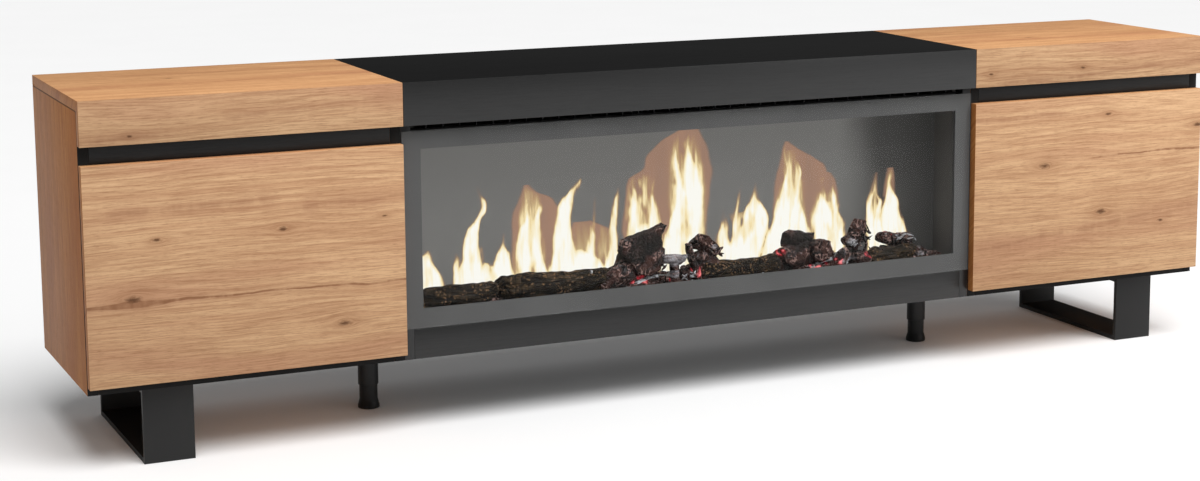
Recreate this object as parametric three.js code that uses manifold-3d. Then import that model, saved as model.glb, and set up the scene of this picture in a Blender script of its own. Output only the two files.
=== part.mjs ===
// Low media cabinet with a built-in electric fire.
// Two oak end cabinets with hinged doors stand on flat steel sled legs. A black centre
// module between them holds the fire, and two adjustable round legs carry the joints.
// Millimetres, +Z up. The origin is on the floor, under the middle of the cabinet.
// The long side runs along X, the front faces -Y and the back faces +Y.

import * as THREE from "three";
import { mergeVertices } from "three/addons/utils/BufferGeometryUtils.js";
import Module from "manifold-3d";

const wasm = await Module();
wasm.setup();

// Whole cabinet
const CABINET_WIDTH = 2000;
const CABINET_DEPTH = 350;
const BODY_HEIGHT = 436;
const LEG_HEIGHT = 116;
const END_WIDTH = 485;
const MODULE_SEAM = 0.6;

// Boards and how they meet
const BOARD = 16;
const BACK_BOARD = 3;
const JOINT_GAP = 0.3;
const MITRE_GAP = 0.4;
const GROOVE_DEPTH = 5;
const GROOVE_CLEARANCE = 0.3;
const BACK_INSET = 12;
const CUT_OVERRUN = 2;

// Front: apron, finger gap and doors
const APRON_HEIGHT = 67;
const HANDLE_GAP = 28;
const HANDLE_RAIL_HEIGHT = 60;
const DOOR_RISE = 12;
const DOOR_THICKNESS = 16;
const DOOR_CLEARANCE = 1;
const DOOR_REVEAL = 0.5;

// Door hinges
const CUP_RADIUS = 17.5;
const CUP_EDGE = 5;
const CUP_DEPTH = 11.5;
const CUP_WALL = 1.4;
const CUP_CLEARANCE = 0.3;
const CUP_FLANGE = 1.2;
const CUP_FLANGE_HALF_HEIGHT = 31;
const CUP_FLANGE_START = 18;
const CUP_FLANGE_WIDTH = 11;
const LINK_PIN_RADIUS = 2.5;
const LINK_PIN_HALF_LENGTH = 11.5;
const ARM_WIDTH = 12;
const ARM_SHEET = 1.5;
const ARM_LENGTH = 75;
const ARM_BASE_LIFT = 8.6;
const ARM_TOP_LIFT = 16;
const ARM_NECK_SETBACK = 17;
const ARM_NOSE_WIDTH = 8;
const ARM_NOSE_REACH = 8;
const ARM_NOSE_STEP = 3;
const PLATE_SHEET = 2;
const PLATE_HALF_HEIGHT = 26;
const PLATE_START = 30;
const PLATE_LENGTH = 22;

// Fixed shelf
const SHELF_SETBACK = 40;
const SHELF_SHARE = 0.45;

// Back boards
const CABLE_HOLE_RADIUS = 30;
const CABLE_HOLE_HEIGHT = 70;
const BACK_OPENING_MARGIN = 90;
const BACK_OPENING_RISE = 60;
const BACK_OPENING_DROP = 20;
const BACK_OPENING_RADIUS = 12;

// Sled legs of flat steel bar
const LEG_BAR_WIDTH = 76;
const LEG_BAR = 8;
const LEG_END_INSET = 81;
const LEG_FRONT_INSET = 10;
const LEG_BACK_INSET = 13;
const LEG_CORNER_RADIUS = 1.5;

// Round support legs under the module joints
const SUPPORT_JOINT_OFFSET = 4;
const SUPPORT_SETBACK = 175;
const SUPPORT_PLATE_RADIUS = 29;
const SUPPORT_PLATE = 3;
const SLEEVE_RADIUS = 16.4;
const SLEEVE_WALL = 1.4;
const SLEEVE_BOTTOM = 39;
const SLEEVE_CLEARANCE = 0.3;
const FOOT_RADIUS = 17.5;
const FOOT_RIM = 6;
const FOOT_CHAMFER = 1;
const FOOT_FLARE_TOP = 15;
const FOOT_ENGAGEMENT = 41;

// Centre module
const FRONT_RAIL_HEIGHT = 48.5;
const OUTLET_SLOT = 10.5;

// Glass front of the fire
const GLASS_REVEAL = 1.2;
const GLASS_GAP = 0.3;
const GLASS_THICKNESS = 3;
const FRAME_SHEET = 1;
const WINDOW_SIDE_BORDER = 30;
const WINDOW_BOTTOM_BORDER = 31;
const WINDOW_TOP_BORDER = 28.5;
const FLANGE_INSET = 8;

// Sheet metal casing of the fire
const CASING_SHEET = 1.2;
const CASING_SIDE_CLEARANCE = 4;
const CASING_TOP_CLEARANCE = 6;
const CASING_DEPTH = 140;
const CHAMBER_HEADROOM = 6;
const CASING_FRONT_RIM = 6;
const INTAKE_SLOT_WIDTH = 34;
const INTAKE_SLOT_HEIGHT = 5;
const INTAKE_SLOT_PITCH = 44;
const INTAKE_SLOTS = 9;
const INTAKE_ROWS = 3;
const INTAKE_ROW_PITCH = 12;

// Warm air outlet grille
const GRILLE_SETBACK = 9;
const GRILLE_RIM = 1.2;
const GRILLE_VANE = 1.6;
const GRILLE_OPENINGS = 36;

// Flame screen, ember bed and logs
const SCREEN_SETBACK = 74;
const SCREEN_THICKNESS = 3;
const SCREEN_CLEARANCE = 0.5;
const BED_FRONT_SETBACK = 4;
const BED_HEIGHT = 50;
const PILE_HEIGHT = 80;
const BED_RELIEF = 5;
const BED_RISE = 7;
const BED_CLEARANCE = 1;
const BED_STEPS_LONG = 56;
const BED_STEPS_DEEP = 6;
const BED_CHANNEL_WALL = 5;
const BED_CHANNEL_HEIGHT = 36;
const LOG_SIDES = 14;
const LOG_RINGS = 12;
const CHUNK_SIDES = 9;
const CHUNK_RINGS = 6;
const LOG_SEAT = 0.4;

// Flame light: light strips, turning flicker spindle and its motor
const STRIP_WIDTH = 12;
const STRIP_BOARD = 1.6;
const STRIP_END_MARGIN = 43.5;
const LAMP_SIZE = 5;
const LAMP_HEIGHT = 1.2;
const LAMPS_PER_STRIP = 15;
const FLAME_STRIP_SETBACK = 122;
const SPINDLE_SETBACK = 102;
const SPINDLE_HEIGHT = 78;
const SPINDLE_RADIUS = 3;
const SPINDLE_END_MARGIN = 36.5;
const SPINDLE_FLAGS = 16;
const FLAG_LENGTH = 46;
const FLAG_WIDTH = 26;
const FLAG_SHEET = 0.8;
const FLAG_TURN = 50;
const BEARING_CLEARANCE = 0.1;
const BEARING_TAB = 2;
const BEARING_TAB_WIDTH = 20;
const MOTOR_RADIUS = 23;
const MOTOR_LENGTH = 18;
const MOTOR_GAP = 2;
const MOTOR_FOOT = 14;
const MOTOR_SHAFT_SEAT = 8;

// Blower, its motor and the heater
const IMPELLER_RADIUS = 20;
const IMPELLER_LENGTH = 220;
const IMPELLER_DISC = 1.5;
const IMPELLER_BLADES = 16;
const BLADE_DEPTH = 5;
const BLADE_SHEET = 0.9;
const BLADE_LEAN = 14;
const IMPELLER_SHAFT = 3;
const IMPELLER_SETBACK = 77;
const SCROLL_SHEET = 1.2;
const SCROLL_CLEARANCE = 4;
const SCROLL_GROWTH = 5;
const SCROLL_STEPS = 14;
const SCROLL_FOOT_LIFT = 22;
const BLOWER_END_GAP = 6;
const BLOWER_END_SHEET = 1.5;
const BLOWER_END_MARGIN = 4;
const TONGUE_CLEARANCE = 3;
const BLOWER_MOTOR_RADIUS = 17;
const BLOWER_MOTOR_LENGTH = 38;
const BLOWER_MOTOR_NECK = 9;
const BLOWER_MOTOR_NECK_LENGTH = 8;
const HEATER_FIN = 1;
const HEATER_FINS = 22;
const HEATER_DEPTH = 24;
const HEATER_SETBACK = 14;
const HEATER_BAR = 3;

// Mains inlet and rocker switch on the casing's back
const INLET_INSET = 164.7;
const INLET_LIFT = 62;
const INLET_WIDTH = 27;
const INLET_HEIGHT = 20;
const INLET_WALL = 1.6;
const INLET_DEPTH = 18;
const INLET_FLANGE = 2.5;
const INLET_MARGIN = 7;
const INLET_CHAMFER = 5;
const INLET_PIN_WIDTH = 2;
const INLET_PIN_HEIGHT = 4;
const INLET_PIN_LENGTH = 13;
const INLET_PIN_PITCH = 7;
const INLET_EARTH_DROP = 4;
const SWITCH_OFFSET = 28;
const SWITCH_WIDTH = 19;
const SWITCH_HEIGHT = 13;
const SWITCH_WALL = 1;
const SWITCH_DEPTH = 14;
const ROCKER_CLEARANCE = 0.4;
const ROCKER_BARREL = 3;
const ROCKER_RISE = 3.4;
const ROCKER_TILT = 8;
const ROCKER_SETBACK = 3;

// Roundness of the turned and bored pieces
const ROUND_STEPS = 32;
const BORE_STEPS = 16;

// Places worked out from the sizes above
const FRONT_Y = -CABINET_DEPTH / 2;
const BACK_Y = CABINET_DEPTH / 2;
const CARCASS_Y = FRONT_Y + DOOR_THICKNESS + DOOR_CLEARANCE;
const TOP_Z = LEG_HEIGHT + BODY_HEIGHT;
const TOP_UNDER_Z = TOP_Z - BOARD;
const FLOOR_Z = LEG_HEIGHT + BOARD;
const SIDE_HEIGHT = BODY_HEIGHT - BOARD - JOINT_GAP;
const APRON_BOTTOM_Z = TOP_Z - APRON_HEIGHT;
const DOOR_TOP_Z = APRON_BOTTOM_Z - HANDLE_GAP;
const DOOR_BOTTOM_Z = LEG_HEIGHT + DOOR_RISE;
const BACK_PANEL_Y = BACK_Y - BACK_INSET - BACK_BOARD;
const GROOVE_FRONT_Y = BACK_PANEL_Y - GROOVE_CLEARANCE;
const GROOVE_BACK_Y = BACK_PANEL_Y + BACK_BOARD + GROOVE_CLEARANCE;
const BACK_TOP_Z = TOP_UNDER_Z + GROOVE_DEPTH - GROOVE_CLEARANCE;
const END_BODY_WIDTH = END_WIDTH - MODULE_SEAM / 2;
const END_CENTRE_X = CABINET_WIDTH / 2 - END_BODY_WIDTH / 2;
const SHELF_Z = FLOOR_Z + (TOP_UNDER_Z - FLOOR_Z) * SHELF_SHARE - BOARD / 2;
const CENTRE_BODY_WIDTH = CABINET_WIDTH - 2 * END_WIDTH - MODULE_SEAM;
const CENTRE_INNER_HALF = CENTRE_BODY_WIDTH / 2 - BOARD;
const SIDE_NAMES = { "-1": "left", 1: "right" };

// Colours, roughness and metalness of the finishes
const FINISHES = {
  oak: { color: 0xc59d78, roughness: 0.55, metalness: 0 },
  blackBoard: { color: 0x353535, roughness: 0.5, metalness: 0 },
  backBoard: { color: 0x2b2b2b, roughness: 0.7, metalness: 0 },
  blackSteel: { color: 0x2d2d2d, roughness: 0.45, metalness: 0.4 },
  blackPlastic: { color: 0x222222, roughness: 0.5, metalness: 0 },
  greySteel: { color: 0x5c5c5a, roughness: 0.4, metalness: 0.3 },
  zincSteel: { color: 0xa8abad, roughness: 0.35, metalness: 0.9 },
  brightSteel: { color: 0xc4c6c8, roughness: 0.25, metalness: 1 },
  glass: { color: 0x8d8f90, roughness: 0.05, metalness: 0, transparent: true, opacity: 0.3 },
  screen: { color: 0x6b6b69, roughness: 0.6, metalness: 0 },
  embers: { color: 0x3a2a22, roughness: 0.9, metalness: 0 },
  charredLog: { color: 0x2c221c, roughness: 0.9, metalness: 0 },
  lightBoard: { color: 0xd8d8d0, roughness: 0.5, metalness: 0 },
};

// A named piece with a material of its own.
function piece(name, finish, geometry) {
  const mesh = new THREE.Mesh(geometry, new THREE.MeshStandardMaterial(FINISHES[finish]));
  mesh.name = name;
  return mesh;
}

// The same piece, moved to its place.
function at(mesh, x, y, z) {
  mesh.position.set(x, y, z);
  return mesh;
}

// A flat board between its lowest and its highest corner.
function board(name, finish, low, high) {
  const size = high.map((value, axis) => value - low[axis]);
  const middle = high.map((value, axis) => (value + low[axis]) / 2);
  return at(piece(name, finish, new THREE.BoxGeometry(...size)), ...middle);
}

// A plain block between two corners, for cutting and joining.
function block(low, high) {
  const size = high.map((value, axis) => value - low[axis]);
  const middle = high.map((value, axis) => (value + low[axis]) / 2);
  return new THREE.BoxGeometry(...size).translate(...middle);
}

// A closed outline from its corner points.
function outline(points) {
  return new THREE.Shape(points.map(([u, v]) => new THREE.Vector2(u, v)));
}

// A rectangle with rounded corners, as a shape or, for a hole, as its path.
function roundedRectangle(left, bottom, right, top, radius) {
  const shape = new THREE.Shape();
  shape.absarc(right - radius, bottom + radius, radius, -Math.PI / 2, 0, false);
  shape.absarc(right - radius, top - radius, radius, 0, Math.PI / 2, false);
  shape.absarc(left + radius, top - radius, radius, Math.PI / 2, Math.PI, false);
  shape.absarc(left + radius, bottom + radius, radius, Math.PI, Math.PI * 1.5, false);
  return shape;
}

function extruded(shape, length) {
  return new THREE.ExtrudeGeometry(shape, { depth: length, bevelEnabled: false, curveSegments: BORE_STEPS / 4 });
}

// A Y-Z outline, extruded along X.
function alongX(shape, x0, x1) {
  const turn = new THREE.Matrix4().makeBasis(
    new THREE.Vector3(0, 1, 0),
    new THREE.Vector3(0, 0, 1),
    new THREE.Vector3(1, 0, 0),
  );
  return extruded(shape, x1 - x0).applyMatrix4(turn).translate(x0, 0, 0);
}

// An X-Z outline, extruded along Y.
function alongY(shape, y0, y1) {
  return extruded(shape, y1 - y0).rotateX(Math.PI / 2).translate(0, y1, 0);
}

// An X-Y outline, extruded along Z.
function alongZ(shape, z0, z1) {
  return extruded(shape, z1 - z0).translate(0, 0, z0);
}

// A round rod, centred on the origin along the axis that is named.
function rod(axis, radius, length, steps = ROUND_STEPS) {
  const geometry = new THREE.CylinderGeometry(radius, radius, length, steps);
  if (axis === "x") geometry.rotateZ(-Math.PI / 2);
  if (axis === "z") geometry.rotateX(Math.PI / 2);
  return geometry;
}

// A turned piece: [radius, height] points, revolved about the axis that is named.
function turned(axis, points, steps = ROUND_STEPS) {
  const geometry = new THREE.LatheGeometry(points.map(([r, h]) => new THREE.Vector2(r, h)), steps);
  if (axis === "x") geometry.rotateZ(-Math.PI / 2);
  if (axis === "z") geometry.rotateX(Math.PI / 2);
  return geometry;
}

// A closed mesh as a solid that can be cut and joined.
function toSolid(geometry) {
  const bare = geometry.clone();
  bare.deleteAttribute("normal");
  bare.deleteAttribute("uv");
  const welded = mergeVertices(bare);
  const corners = welded.index.array;
  const kept = [];
  for (let i = 0; i < corners.length; i += 3) {
    const [a, b, c] = [corners[i], corners[i + 1], corners[i + 2]];
    if (a !== b && b !== c && c !== a) kept.push(a, b, c);
  }
  return new wasm.Manifold(new wasm.Mesh({
    numProp: 3,
    vertProperties: new Float32Array(welded.attributes.position.array),
    triVerts: new Uint32Array(kept),
  }));
}

function toGeometry(solid) {
  const mesh = solid.getMesh();
  const geometry = new THREE.BufferGeometry();
  geometry.setAttribute("position", new THREE.BufferAttribute(mesh.vertProperties, 3));
  geometry.setIndex(new THREE.BufferAttribute(mesh.triVerts, 1));
  geometry.computeVertexNormals();
  return geometry;
}

function cut(geometry, tools) {
  return toGeometry(tools.map(toSolid).reduce((rest, tool) => rest.subtract(tool), toSolid(geometry)));
}

function join(geometries) {
  return toGeometry(geometries.map(toSolid).reduce((sum, next) => sum.add(next)));
}

// Top board with its front edge mitred, and the groove for the back board underneath.
function topPanel(name, finish, width) {
  const shape = outline([
    [FRONT_Y + MITRE_GAP, TOP_Z],
    [FRONT_Y + MITRE_GAP + BOARD, TOP_UNDER_Z],
    [GROOVE_FRONT_Y, TOP_UNDER_Z],
    [GROOVE_FRONT_Y, TOP_UNDER_Z + GROOVE_DEPTH],
    [GROOVE_BACK_Y, TOP_UNDER_Z + GROOVE_DEPTH],
    [GROOVE_BACK_Y, TOP_UNDER_Z],
    [BACK_Y, TOP_UNDER_Z],
    [BACK_Y, TOP_Z],
  ]);
  return piece(name, finish, alongX(shape, -width / 2, width / 2));
}

// Apron that hangs from the top board's front edge, mitred to it.
function topApron(name, finish, width) {
  const shape = outline([
    [FRONT_Y, TOP_Z],
    [FRONT_Y, APRON_BOTTOM_Z],
    [FRONT_Y + BOARD, APRON_BOTTOM_Z],
    [FRONT_Y + BOARD, TOP_UNDER_Z],
  ]);
  return piece(name, finish, alongX(shape, -width / 2, width / 2));
}

// Upright side board with the groove for the back board in its inner face.
function sidePanel(name, finish, inward) {
  const innerX = inward * BOARD / 2;
  const grooveX = inward * (BOARD / 2 - GROOVE_DEPTH);
  const shape = outline([
    [-innerX, CARCASS_Y],
    [innerX, CARCASS_Y],
    [innerX, GROOVE_FRONT_Y],
    [grooveX, GROOVE_FRONT_Y],
    [grooveX, GROOVE_BACK_Y],
    [innerX, GROOVE_BACK_Y],
    [innerX, BACK_Y],
    [-innerX, BACK_Y],
  ]);
  return piece(name, finish, alongZ(shape, LEG_HEIGHT, LEG_HEIGHT + SIDE_HEIGHT));
}

// A thin back board in its grooves, with an opening.
function backPanel(name, innerHalf, opening) {
  const half = innerHalf + GROOVE_DEPTH - GROOVE_CLEARANCE;
  const shape = outline([
    [-half, LEG_HEIGHT],
    [half, LEG_HEIGHT],
    [half, BACK_TOP_Z],
    [-half, BACK_TOP_Z],
  ]);
  shape.holes.push(opening);
  return piece(name, "backBoard", alongY(shape, BACK_PANEL_Y, BACK_PANEL_Y + BACK_BOARD));
}

// The heights of the two hinges of a door.
const RAIL_MIDDLE_Z = APRON_BOTTOM_Z - HANDLE_GAP / 2;
const RAIL_BOTTOM_Z = RAIL_MIDDLE_Z - HANDLE_RAIL_HEIGHT / 2;
const HINGE_HEIGHTS = {
  lower: (FLOOR_Z + SHELF_Z) / 2,
  upper: (SHELF_Z + BOARD + RAIL_BOTTOM_Z) / 2,
};
const CUP_CENTRE = CUP_EDGE + CUP_RADIUS;

// Door leaf with its blind cup bores. The leaf lies between outerX, at the hinges, and
// innerX, both in the end cabinet's own frame.
function doorLeaf(name, side, half) {
  const outerX = side * (half - DOOR_REVEAL);
  const leaf = block(
    [-half + DOOR_REVEAL, FRONT_Y, DOOR_BOTTOM_Z],
    [half - DOOR_REVEAL, FRONT_Y + DOOR_THICKNESS, DOOR_TOP_Z],
  );
  const depth = CUP_DEPTH + CUT_OVERRUN;
  const bores = Object.values(HINGE_HEIGHTS).map((z) => rod("y", CUP_RADIUS, depth)
    .translate(outerX - side * CUP_CENTRE, FRONT_Y + DOOR_THICKNESS - CUP_DEPTH + depth / 2, z));
  return piece(name, "oak", cut(leaf, bores));
}

// Hinge cup pressed into the door. Its two screw wings lie on the door's back, its rim is
// flush with the door where the cabinet's side passes over it, and the link pin crosses it
// beside the arm's nose.
function hingeCup(name, side, half, z) {
  const outer = CUP_RADIUS - CUP_CLEARANCE;
  const inner = outer - CUP_WALL;
  const deep = CUP_DEPTH - CUP_CLEARANCE;
  const rim = JOINT_GAP + CUP_FLANGE;
  const cup = turned("y", [
    [0, -deep],
    [outer, -deep],
    [outer, rim],
    [inner, rim],
    [inner, -deep + CUP_WALL],
    [0, -deep + CUP_WALL],
  ]);
  const near = side * (CUP_CENTRE - CUP_FLANGE_START);
  const far = near - side * CUP_FLANGE_WIDTH;
  const edge = side * (CUP_CENTRE + CUT_OVERRUN);
  const wings = block(
    [Math.min(near, far), JOINT_GAP, -CUP_FLANGE_HALF_HEIGHT],
    [Math.max(near, far), rim, CUP_FLANGE_HALF_HEIGHT],
  );
  const bore = rod("y", inner + CUP_WALL / 2, CUP_DEPTH);
  const pin = rod("z", LINK_PIN_RADIUS, 2 * LINK_PIN_HALF_LENGTH, BORE_STEPS)
    .translate(-side * (ARM_NOSE_STEP + ARM_NOSE_WIDTH / 2 + JOINT_GAP + LINK_PIN_RADIUS), -deep / 2, 0);
  const passing = block(
    [Math.min(near, edge), 0, -CUP_RADIUS],
    [Math.max(near, edge), rim + CUT_OVERRUN, CUP_RADIUS],
  );
  const geometry = join([cut(cup, [passing]), cut(wings, [bore]), pin]);
  const x = side * (half - DOOR_REVEAL - CUP_CENTRE);
  return at(piece(name, "zincSteel", geometry), x, FRONT_Y + DOOR_THICKNESS, z);
}

// Stamped hinge arm on its mounting plate, screwed to the outer side's inner face.
// The nose of the arm reaches into the hinge cup.
function hingeArm(name, side, half, z) {
  const face = BOARD + JOINT_GAP;
  const nose = CUP_CENTRE + DOOR_REVEAL + ARM_NOSE_STEP;
  const place = (depthIn, setback) => [side * (half - depthIn), CARCASS_Y + setback];
  const body = alongZ(outline([
    place(face + ARM_BASE_LIFT, ARM_LENGTH),
    place(face + ARM_TOP_LIFT, ARM_LENGTH),
    place(face + ARM_TOP_LIFT, ARM_NECK_SETBACK),
    place(nose + ARM_NOSE_WIDTH / 2, ARM_NOSE_STEP),
    place(nose + ARM_NOSE_WIDTH / 2, -ARM_NOSE_REACH),
    place(nose - ARM_NOSE_WIDTH / 2, -ARM_NOSE_REACH),
    place(nose - ARM_NOSE_WIDTH / 2, ARM_NOSE_STEP),
    place(face + ARM_BASE_LIFT, ARM_NECK_SETBACK),
  ]), -ARM_WIDTH / 2, ARM_WIDTH / 2);
  const channel = alongZ(outline([
    place(face, ARM_LENGTH + CUT_OVERRUN),
    place(face + ARM_TOP_LIFT - ARM_SHEET, ARM_LENGTH + CUT_OVERRUN),
    place(face + ARM_TOP_LIFT - ARM_SHEET, ARM_NECK_SETBACK + ARM_SHEET),
    place(face, ARM_NECK_SETBACK + ARM_SHEET),
  ]), -ARM_WIDTH / 2 + ARM_SHEET, ARM_WIDTH / 2 - ARM_SHEET);
  const slab = (lift, reach) => {
    const [x0, y0] = place(face, PLATE_START);
    const [x1, y1] = place(face + lift, PLATE_START + PLATE_LENGTH);
    return block([Math.min(x0, x1), y0, -reach], [Math.max(x0, x1), y1, reach]);
  };
  const geometry = join([
    cut(body, [channel]),
    slab(ARM_TOP_LIFT - ARM_SHEET / 2, ARM_WIDTH / 2 - ARM_SHEET - JOINT_GAP),
    slab(PLATE_SHEET, PLATE_HALF_HEIGHT),
  ]);
  return at(piece(name, "zincSteel", geometry), 0, 0, z);
}

// Closed loop of flat steel bar under an end cabinet.
function sledLeg(name, side) {
  const frontY = CARCASS_Y + LEG_FRONT_INSET;
  const backY = BACK_Y - LEG_BACK_INSET;
  const top = LEG_HEIGHT - JOINT_GAP;
  const shape = roundedRectangle(frontY, 0, backY, top, LEG_CORNER_RADIUS);
  shape.holes.push(roundedRectangle(
    frontY + LEG_BAR,
    LEG_BAR,
    backY - LEG_BAR,
    top - LEG_BAR,
    LEG_CORNER_RADIUS,
  ));
  const centre = side * (CABINET_WIDTH / 2 - LEG_END_INSET - LEG_BAR_WIDTH / 2);
  const geometry = alongX(shape, -LEG_BAR_WIDTH / 2, LEG_BAR_WIDTH / 2);
  return at(piece(name, "blackSteel", geometry), centre, 0, 0);
}

// One end cabinet with its door. side is -1 for the left one and 1 for the right one.
function endCabinet(side) {
  const prefix = SIDE_NAMES[side];
  const half = END_BODY_WIDTH / 2;
  const inner = half - BOARD;
  const group = new THREE.Group();
  const outerSide = sidePanel(`${prefix}_outer_side`, "oak", -side);
  const innerSide = sidePanel(`${prefix}_inner_side`, "oak", side);
  const cableHole = new THREE.Path();
  cableHole.absarc(0, FLOOR_Z + CABLE_HOLE_HEIGHT, CABLE_HOLE_RADIUS, 0, Math.PI * 2, true);
  group.add(
    topPanel(`${prefix}_top_panel`, "oak", END_BODY_WIDTH),
    topApron(`${prefix}_top_apron`, "oak", END_BODY_WIDTH),
    at(outerSide, side * (half - BOARD / 2), 0, 0),
    at(innerSide, -side * (half - BOARD / 2), 0, 0),
    board(
      `${prefix}_bottom_panel`,
      "oak",
      [-inner + JOINT_GAP, CARCASS_Y, LEG_HEIGHT],
      [inner - JOINT_GAP, BACK_PANEL_Y - JOINT_GAP, FLOOR_Z],
    ),
    backPanel(`${prefix}_back_panel`, inner, cableHole),
    board(
      `${prefix}_handle_rail`,
      "blackBoard",
      [-inner + JOINT_GAP, CARCASS_Y, RAIL_BOTTOM_Z],
      [inner - JOINT_GAP, CARCASS_Y + BOARD, RAIL_BOTTOM_Z + HANDLE_RAIL_HEIGHT],
    ),
    board(
      `${prefix}_shelf`,
      "oak",
      [-inner + JOINT_GAP, CARCASS_Y + SHELF_SETBACK, SHELF_Z],
      [inner - JOINT_GAP, BACK_PANEL_Y - JOINT_GAP, SHELF_Z + BOARD],
    ),
    doorLeaf(`${prefix}_door`, side, half),
  );
  for (const [place, z] of Object.entries(HINGE_HEIGHTS)) {
    group.add(
      hingeCup(`${prefix}_${place}_hinge_cup`, side, half, z),
      hingeArm(`${prefix}_${place}_hinge_arm`, side, half, z),
    );
  }
  group.position.set(side * END_CENTRE_X, 0, 0);
  return group;
}

// Round leg under a module joint: a sleeve with its screw plate, and the foot that
// screws up into it.
function supportLeg(side) {
  const prefix = SIDE_NAMES[side];
  const top = LEG_HEIGHT - JOINT_GAP;
  const bore = SLEEVE_RADIUS - SLEEVE_WALL;
  const stem = bore - SLEEVE_CLEARANCE;
  const sleeve = turned("z", [
    [bore, SLEEVE_BOTTOM],
    [SLEEVE_RADIUS, SLEEVE_BOTTOM],
    [SLEEVE_RADIUS, top - SUPPORT_PLATE],
    [SUPPORT_PLATE_RADIUS, top - SUPPORT_PLATE],
    [SUPPORT_PLATE_RADIUS, top],
    [0, top],
    [0, top - SUPPORT_PLATE],
    [bore, top - SUPPORT_PLATE],
    [bore, SLEEVE_BOTTOM],
  ]);
  const foot = turned("z", [
    [0, 0],
    [FOOT_RADIUS - FOOT_CHAMFER, 0],
    [FOOT_RADIUS, FOOT_CHAMFER],
    [FOOT_RADIUS, FOOT_RIM],
    [stem, FOOT_FLARE_TOP],
    [stem, SLEEVE_BOTTOM + FOOT_ENGAGEMENT],
    [0, SLEEVE_BOTTOM + FOOT_ENGAGEMENT],
  ]);
  const group = new THREE.Group();
  group.add(
    piece(`${prefix}_support_sleeve`, "blackPlastic", sleeve),
    piece(`${prefix}_support_foot`, "blackPlastic", foot),
  );
  const x = side * (CABINET_WIDTH / 2 - END_WIDTH + SUPPORT_JOINT_OFFSET);
  group.position.set(x, CARCASS_Y + SUPPORT_SETBACK, 0);
  return group;
}

// Carcass of the centre module.
function centreCarcass() {
  const half = CENTRE_BODY_WIDTH / 2;
  const group = new THREE.Group();
  const left = sidePanel("centre_left_side", "blackBoard", 1);
  const right = sidePanel("centre_right_side", "blackBoard", -1);
  const opening = roundedRectangle(
    -CENTRE_INNER_HALF + BACK_OPENING_MARGIN,
    LEG_HEIGHT + BACK_OPENING_RISE,
    CENTRE_INNER_HALF - BACK_OPENING_MARGIN,
    TOP_UNDER_Z - BACK_OPENING_DROP,
    BACK_OPENING_RADIUS,
  );
  group.add(
    topPanel("centre_top_panel", "blackBoard", CENTRE_BODY_WIDTH),
    topApron("centre_top_apron", "blackBoard", CENTRE_BODY_WIDTH),
    at(left, -half + BOARD / 2, 0, 0),
    at(right, half - BOARD / 2, 0, 0),
    board(
      "centre_bottom_panel",
      "blackBoard",
      [-CENTRE_INNER_HALF + JOINT_GAP, CARCASS_Y + BOARD + JOINT_GAP, LEG_HEIGHT],
      [CENTRE_INNER_HALF - JOINT_GAP, BACK_PANEL_Y - JOINT_GAP, FLOOR_Z],
    ),
    board(
      "centre_front_rail",
      "blackBoard",
      [-CENTRE_INNER_HALF + JOINT_GAP, CARCASS_Y, LEG_HEIGHT],
      [CENTRE_INNER_HALF - JOINT_GAP, CARCASS_Y + BOARD, LEG_HEIGHT + FRONT_RAIL_HEIGHT],
    ),
    backPanel("centre_back_panel", CENTRE_INNER_HALF, opening),
  );
  return group;
}

// Glass front and the steel frame behind it. The frame's border shows through the glass.
const GLASS_HALF = CENTRE_BODY_WIDTH / 2 - GLASS_REVEAL;
const GLASS_BOTTOM_Z = LEG_HEIGHT + FRONT_RAIL_HEIGHT + GLASS_REVEAL / 2;
const GLASS_TOP_Z = APRON_BOTTOM_Z - OUTLET_SLOT;
const FRAME_BACK_Y = CARCASS_Y - JOINT_GAP;
const FRAME_FRONT_Y = FRAME_BACK_Y - FRAME_SHEET;
const GLASS_BACK_Y = FRAME_FRONT_Y - GLASS_GAP;
const WINDOW_HALF = GLASS_HALF - WINDOW_SIDE_BORDER;
const WINDOW_BOTTOM_Z = GLASS_BOTTOM_Z + WINDOW_BOTTOM_BORDER;
const WINDOW_TOP_Z = GLASS_TOP_Z - WINDOW_TOP_BORDER;
const CASING_FRONT_Y = CARCASS_Y + BOARD + JOINT_GAP;

function glassFront() {
  const low = [-GLASS_HALF, GLASS_BACK_Y - GLASS_THICKNESS, GLASS_BOTTOM_Z];
  const high = [GLASS_HALF, GLASS_BACK_Y, GLASS_TOP_Z];
  return board("front_glass", "glass", low, high);
}

// A square ring between two rectangles, each given as left, bottom, right and top.
function ring(outer, inner, y0, y1) {
  const corners = ([left, bottom, right, top]) => [[left, bottom], [right, bottom], [right, top], [left, top]];
  const shape = outline(corners(outer));
  shape.holes.push(outline(corners(inner)));
  return alongY(shape, y0, y1);
}

function grown([left, bottom, right, top], step) {
  return [left - step, bottom - step, right + step, top + step];
}

function frontFrame() {
  const sheet = [-GLASS_HALF, GLASS_BOTTOM_Z, GLASS_HALF, GLASS_TOP_Z];
  const window = [-WINDOW_HALF, WINDOW_BOTTOM_Z, WINDOW_HALF, WINDOW_TOP_Z];
  const inner = CENTRE_INNER_HALF - FLANGE_INSET;
  const flange = [-inner, GLASS_BOTTOM_Z + FLANGE_INSET, inner, GLASS_TOP_Z - FLANGE_INSET];
  return piece("front_frame", "greySteel", join([
    ring(sheet, window, FRAME_FRONT_Y, FRAME_BACK_Y),
    ring(flange, grown(flange, -FRAME_SHEET), FRAME_FRONT_Y + FRAME_SHEET / 2, CASING_FRONT_Y - JOINT_GAP),
  ]));
}

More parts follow.
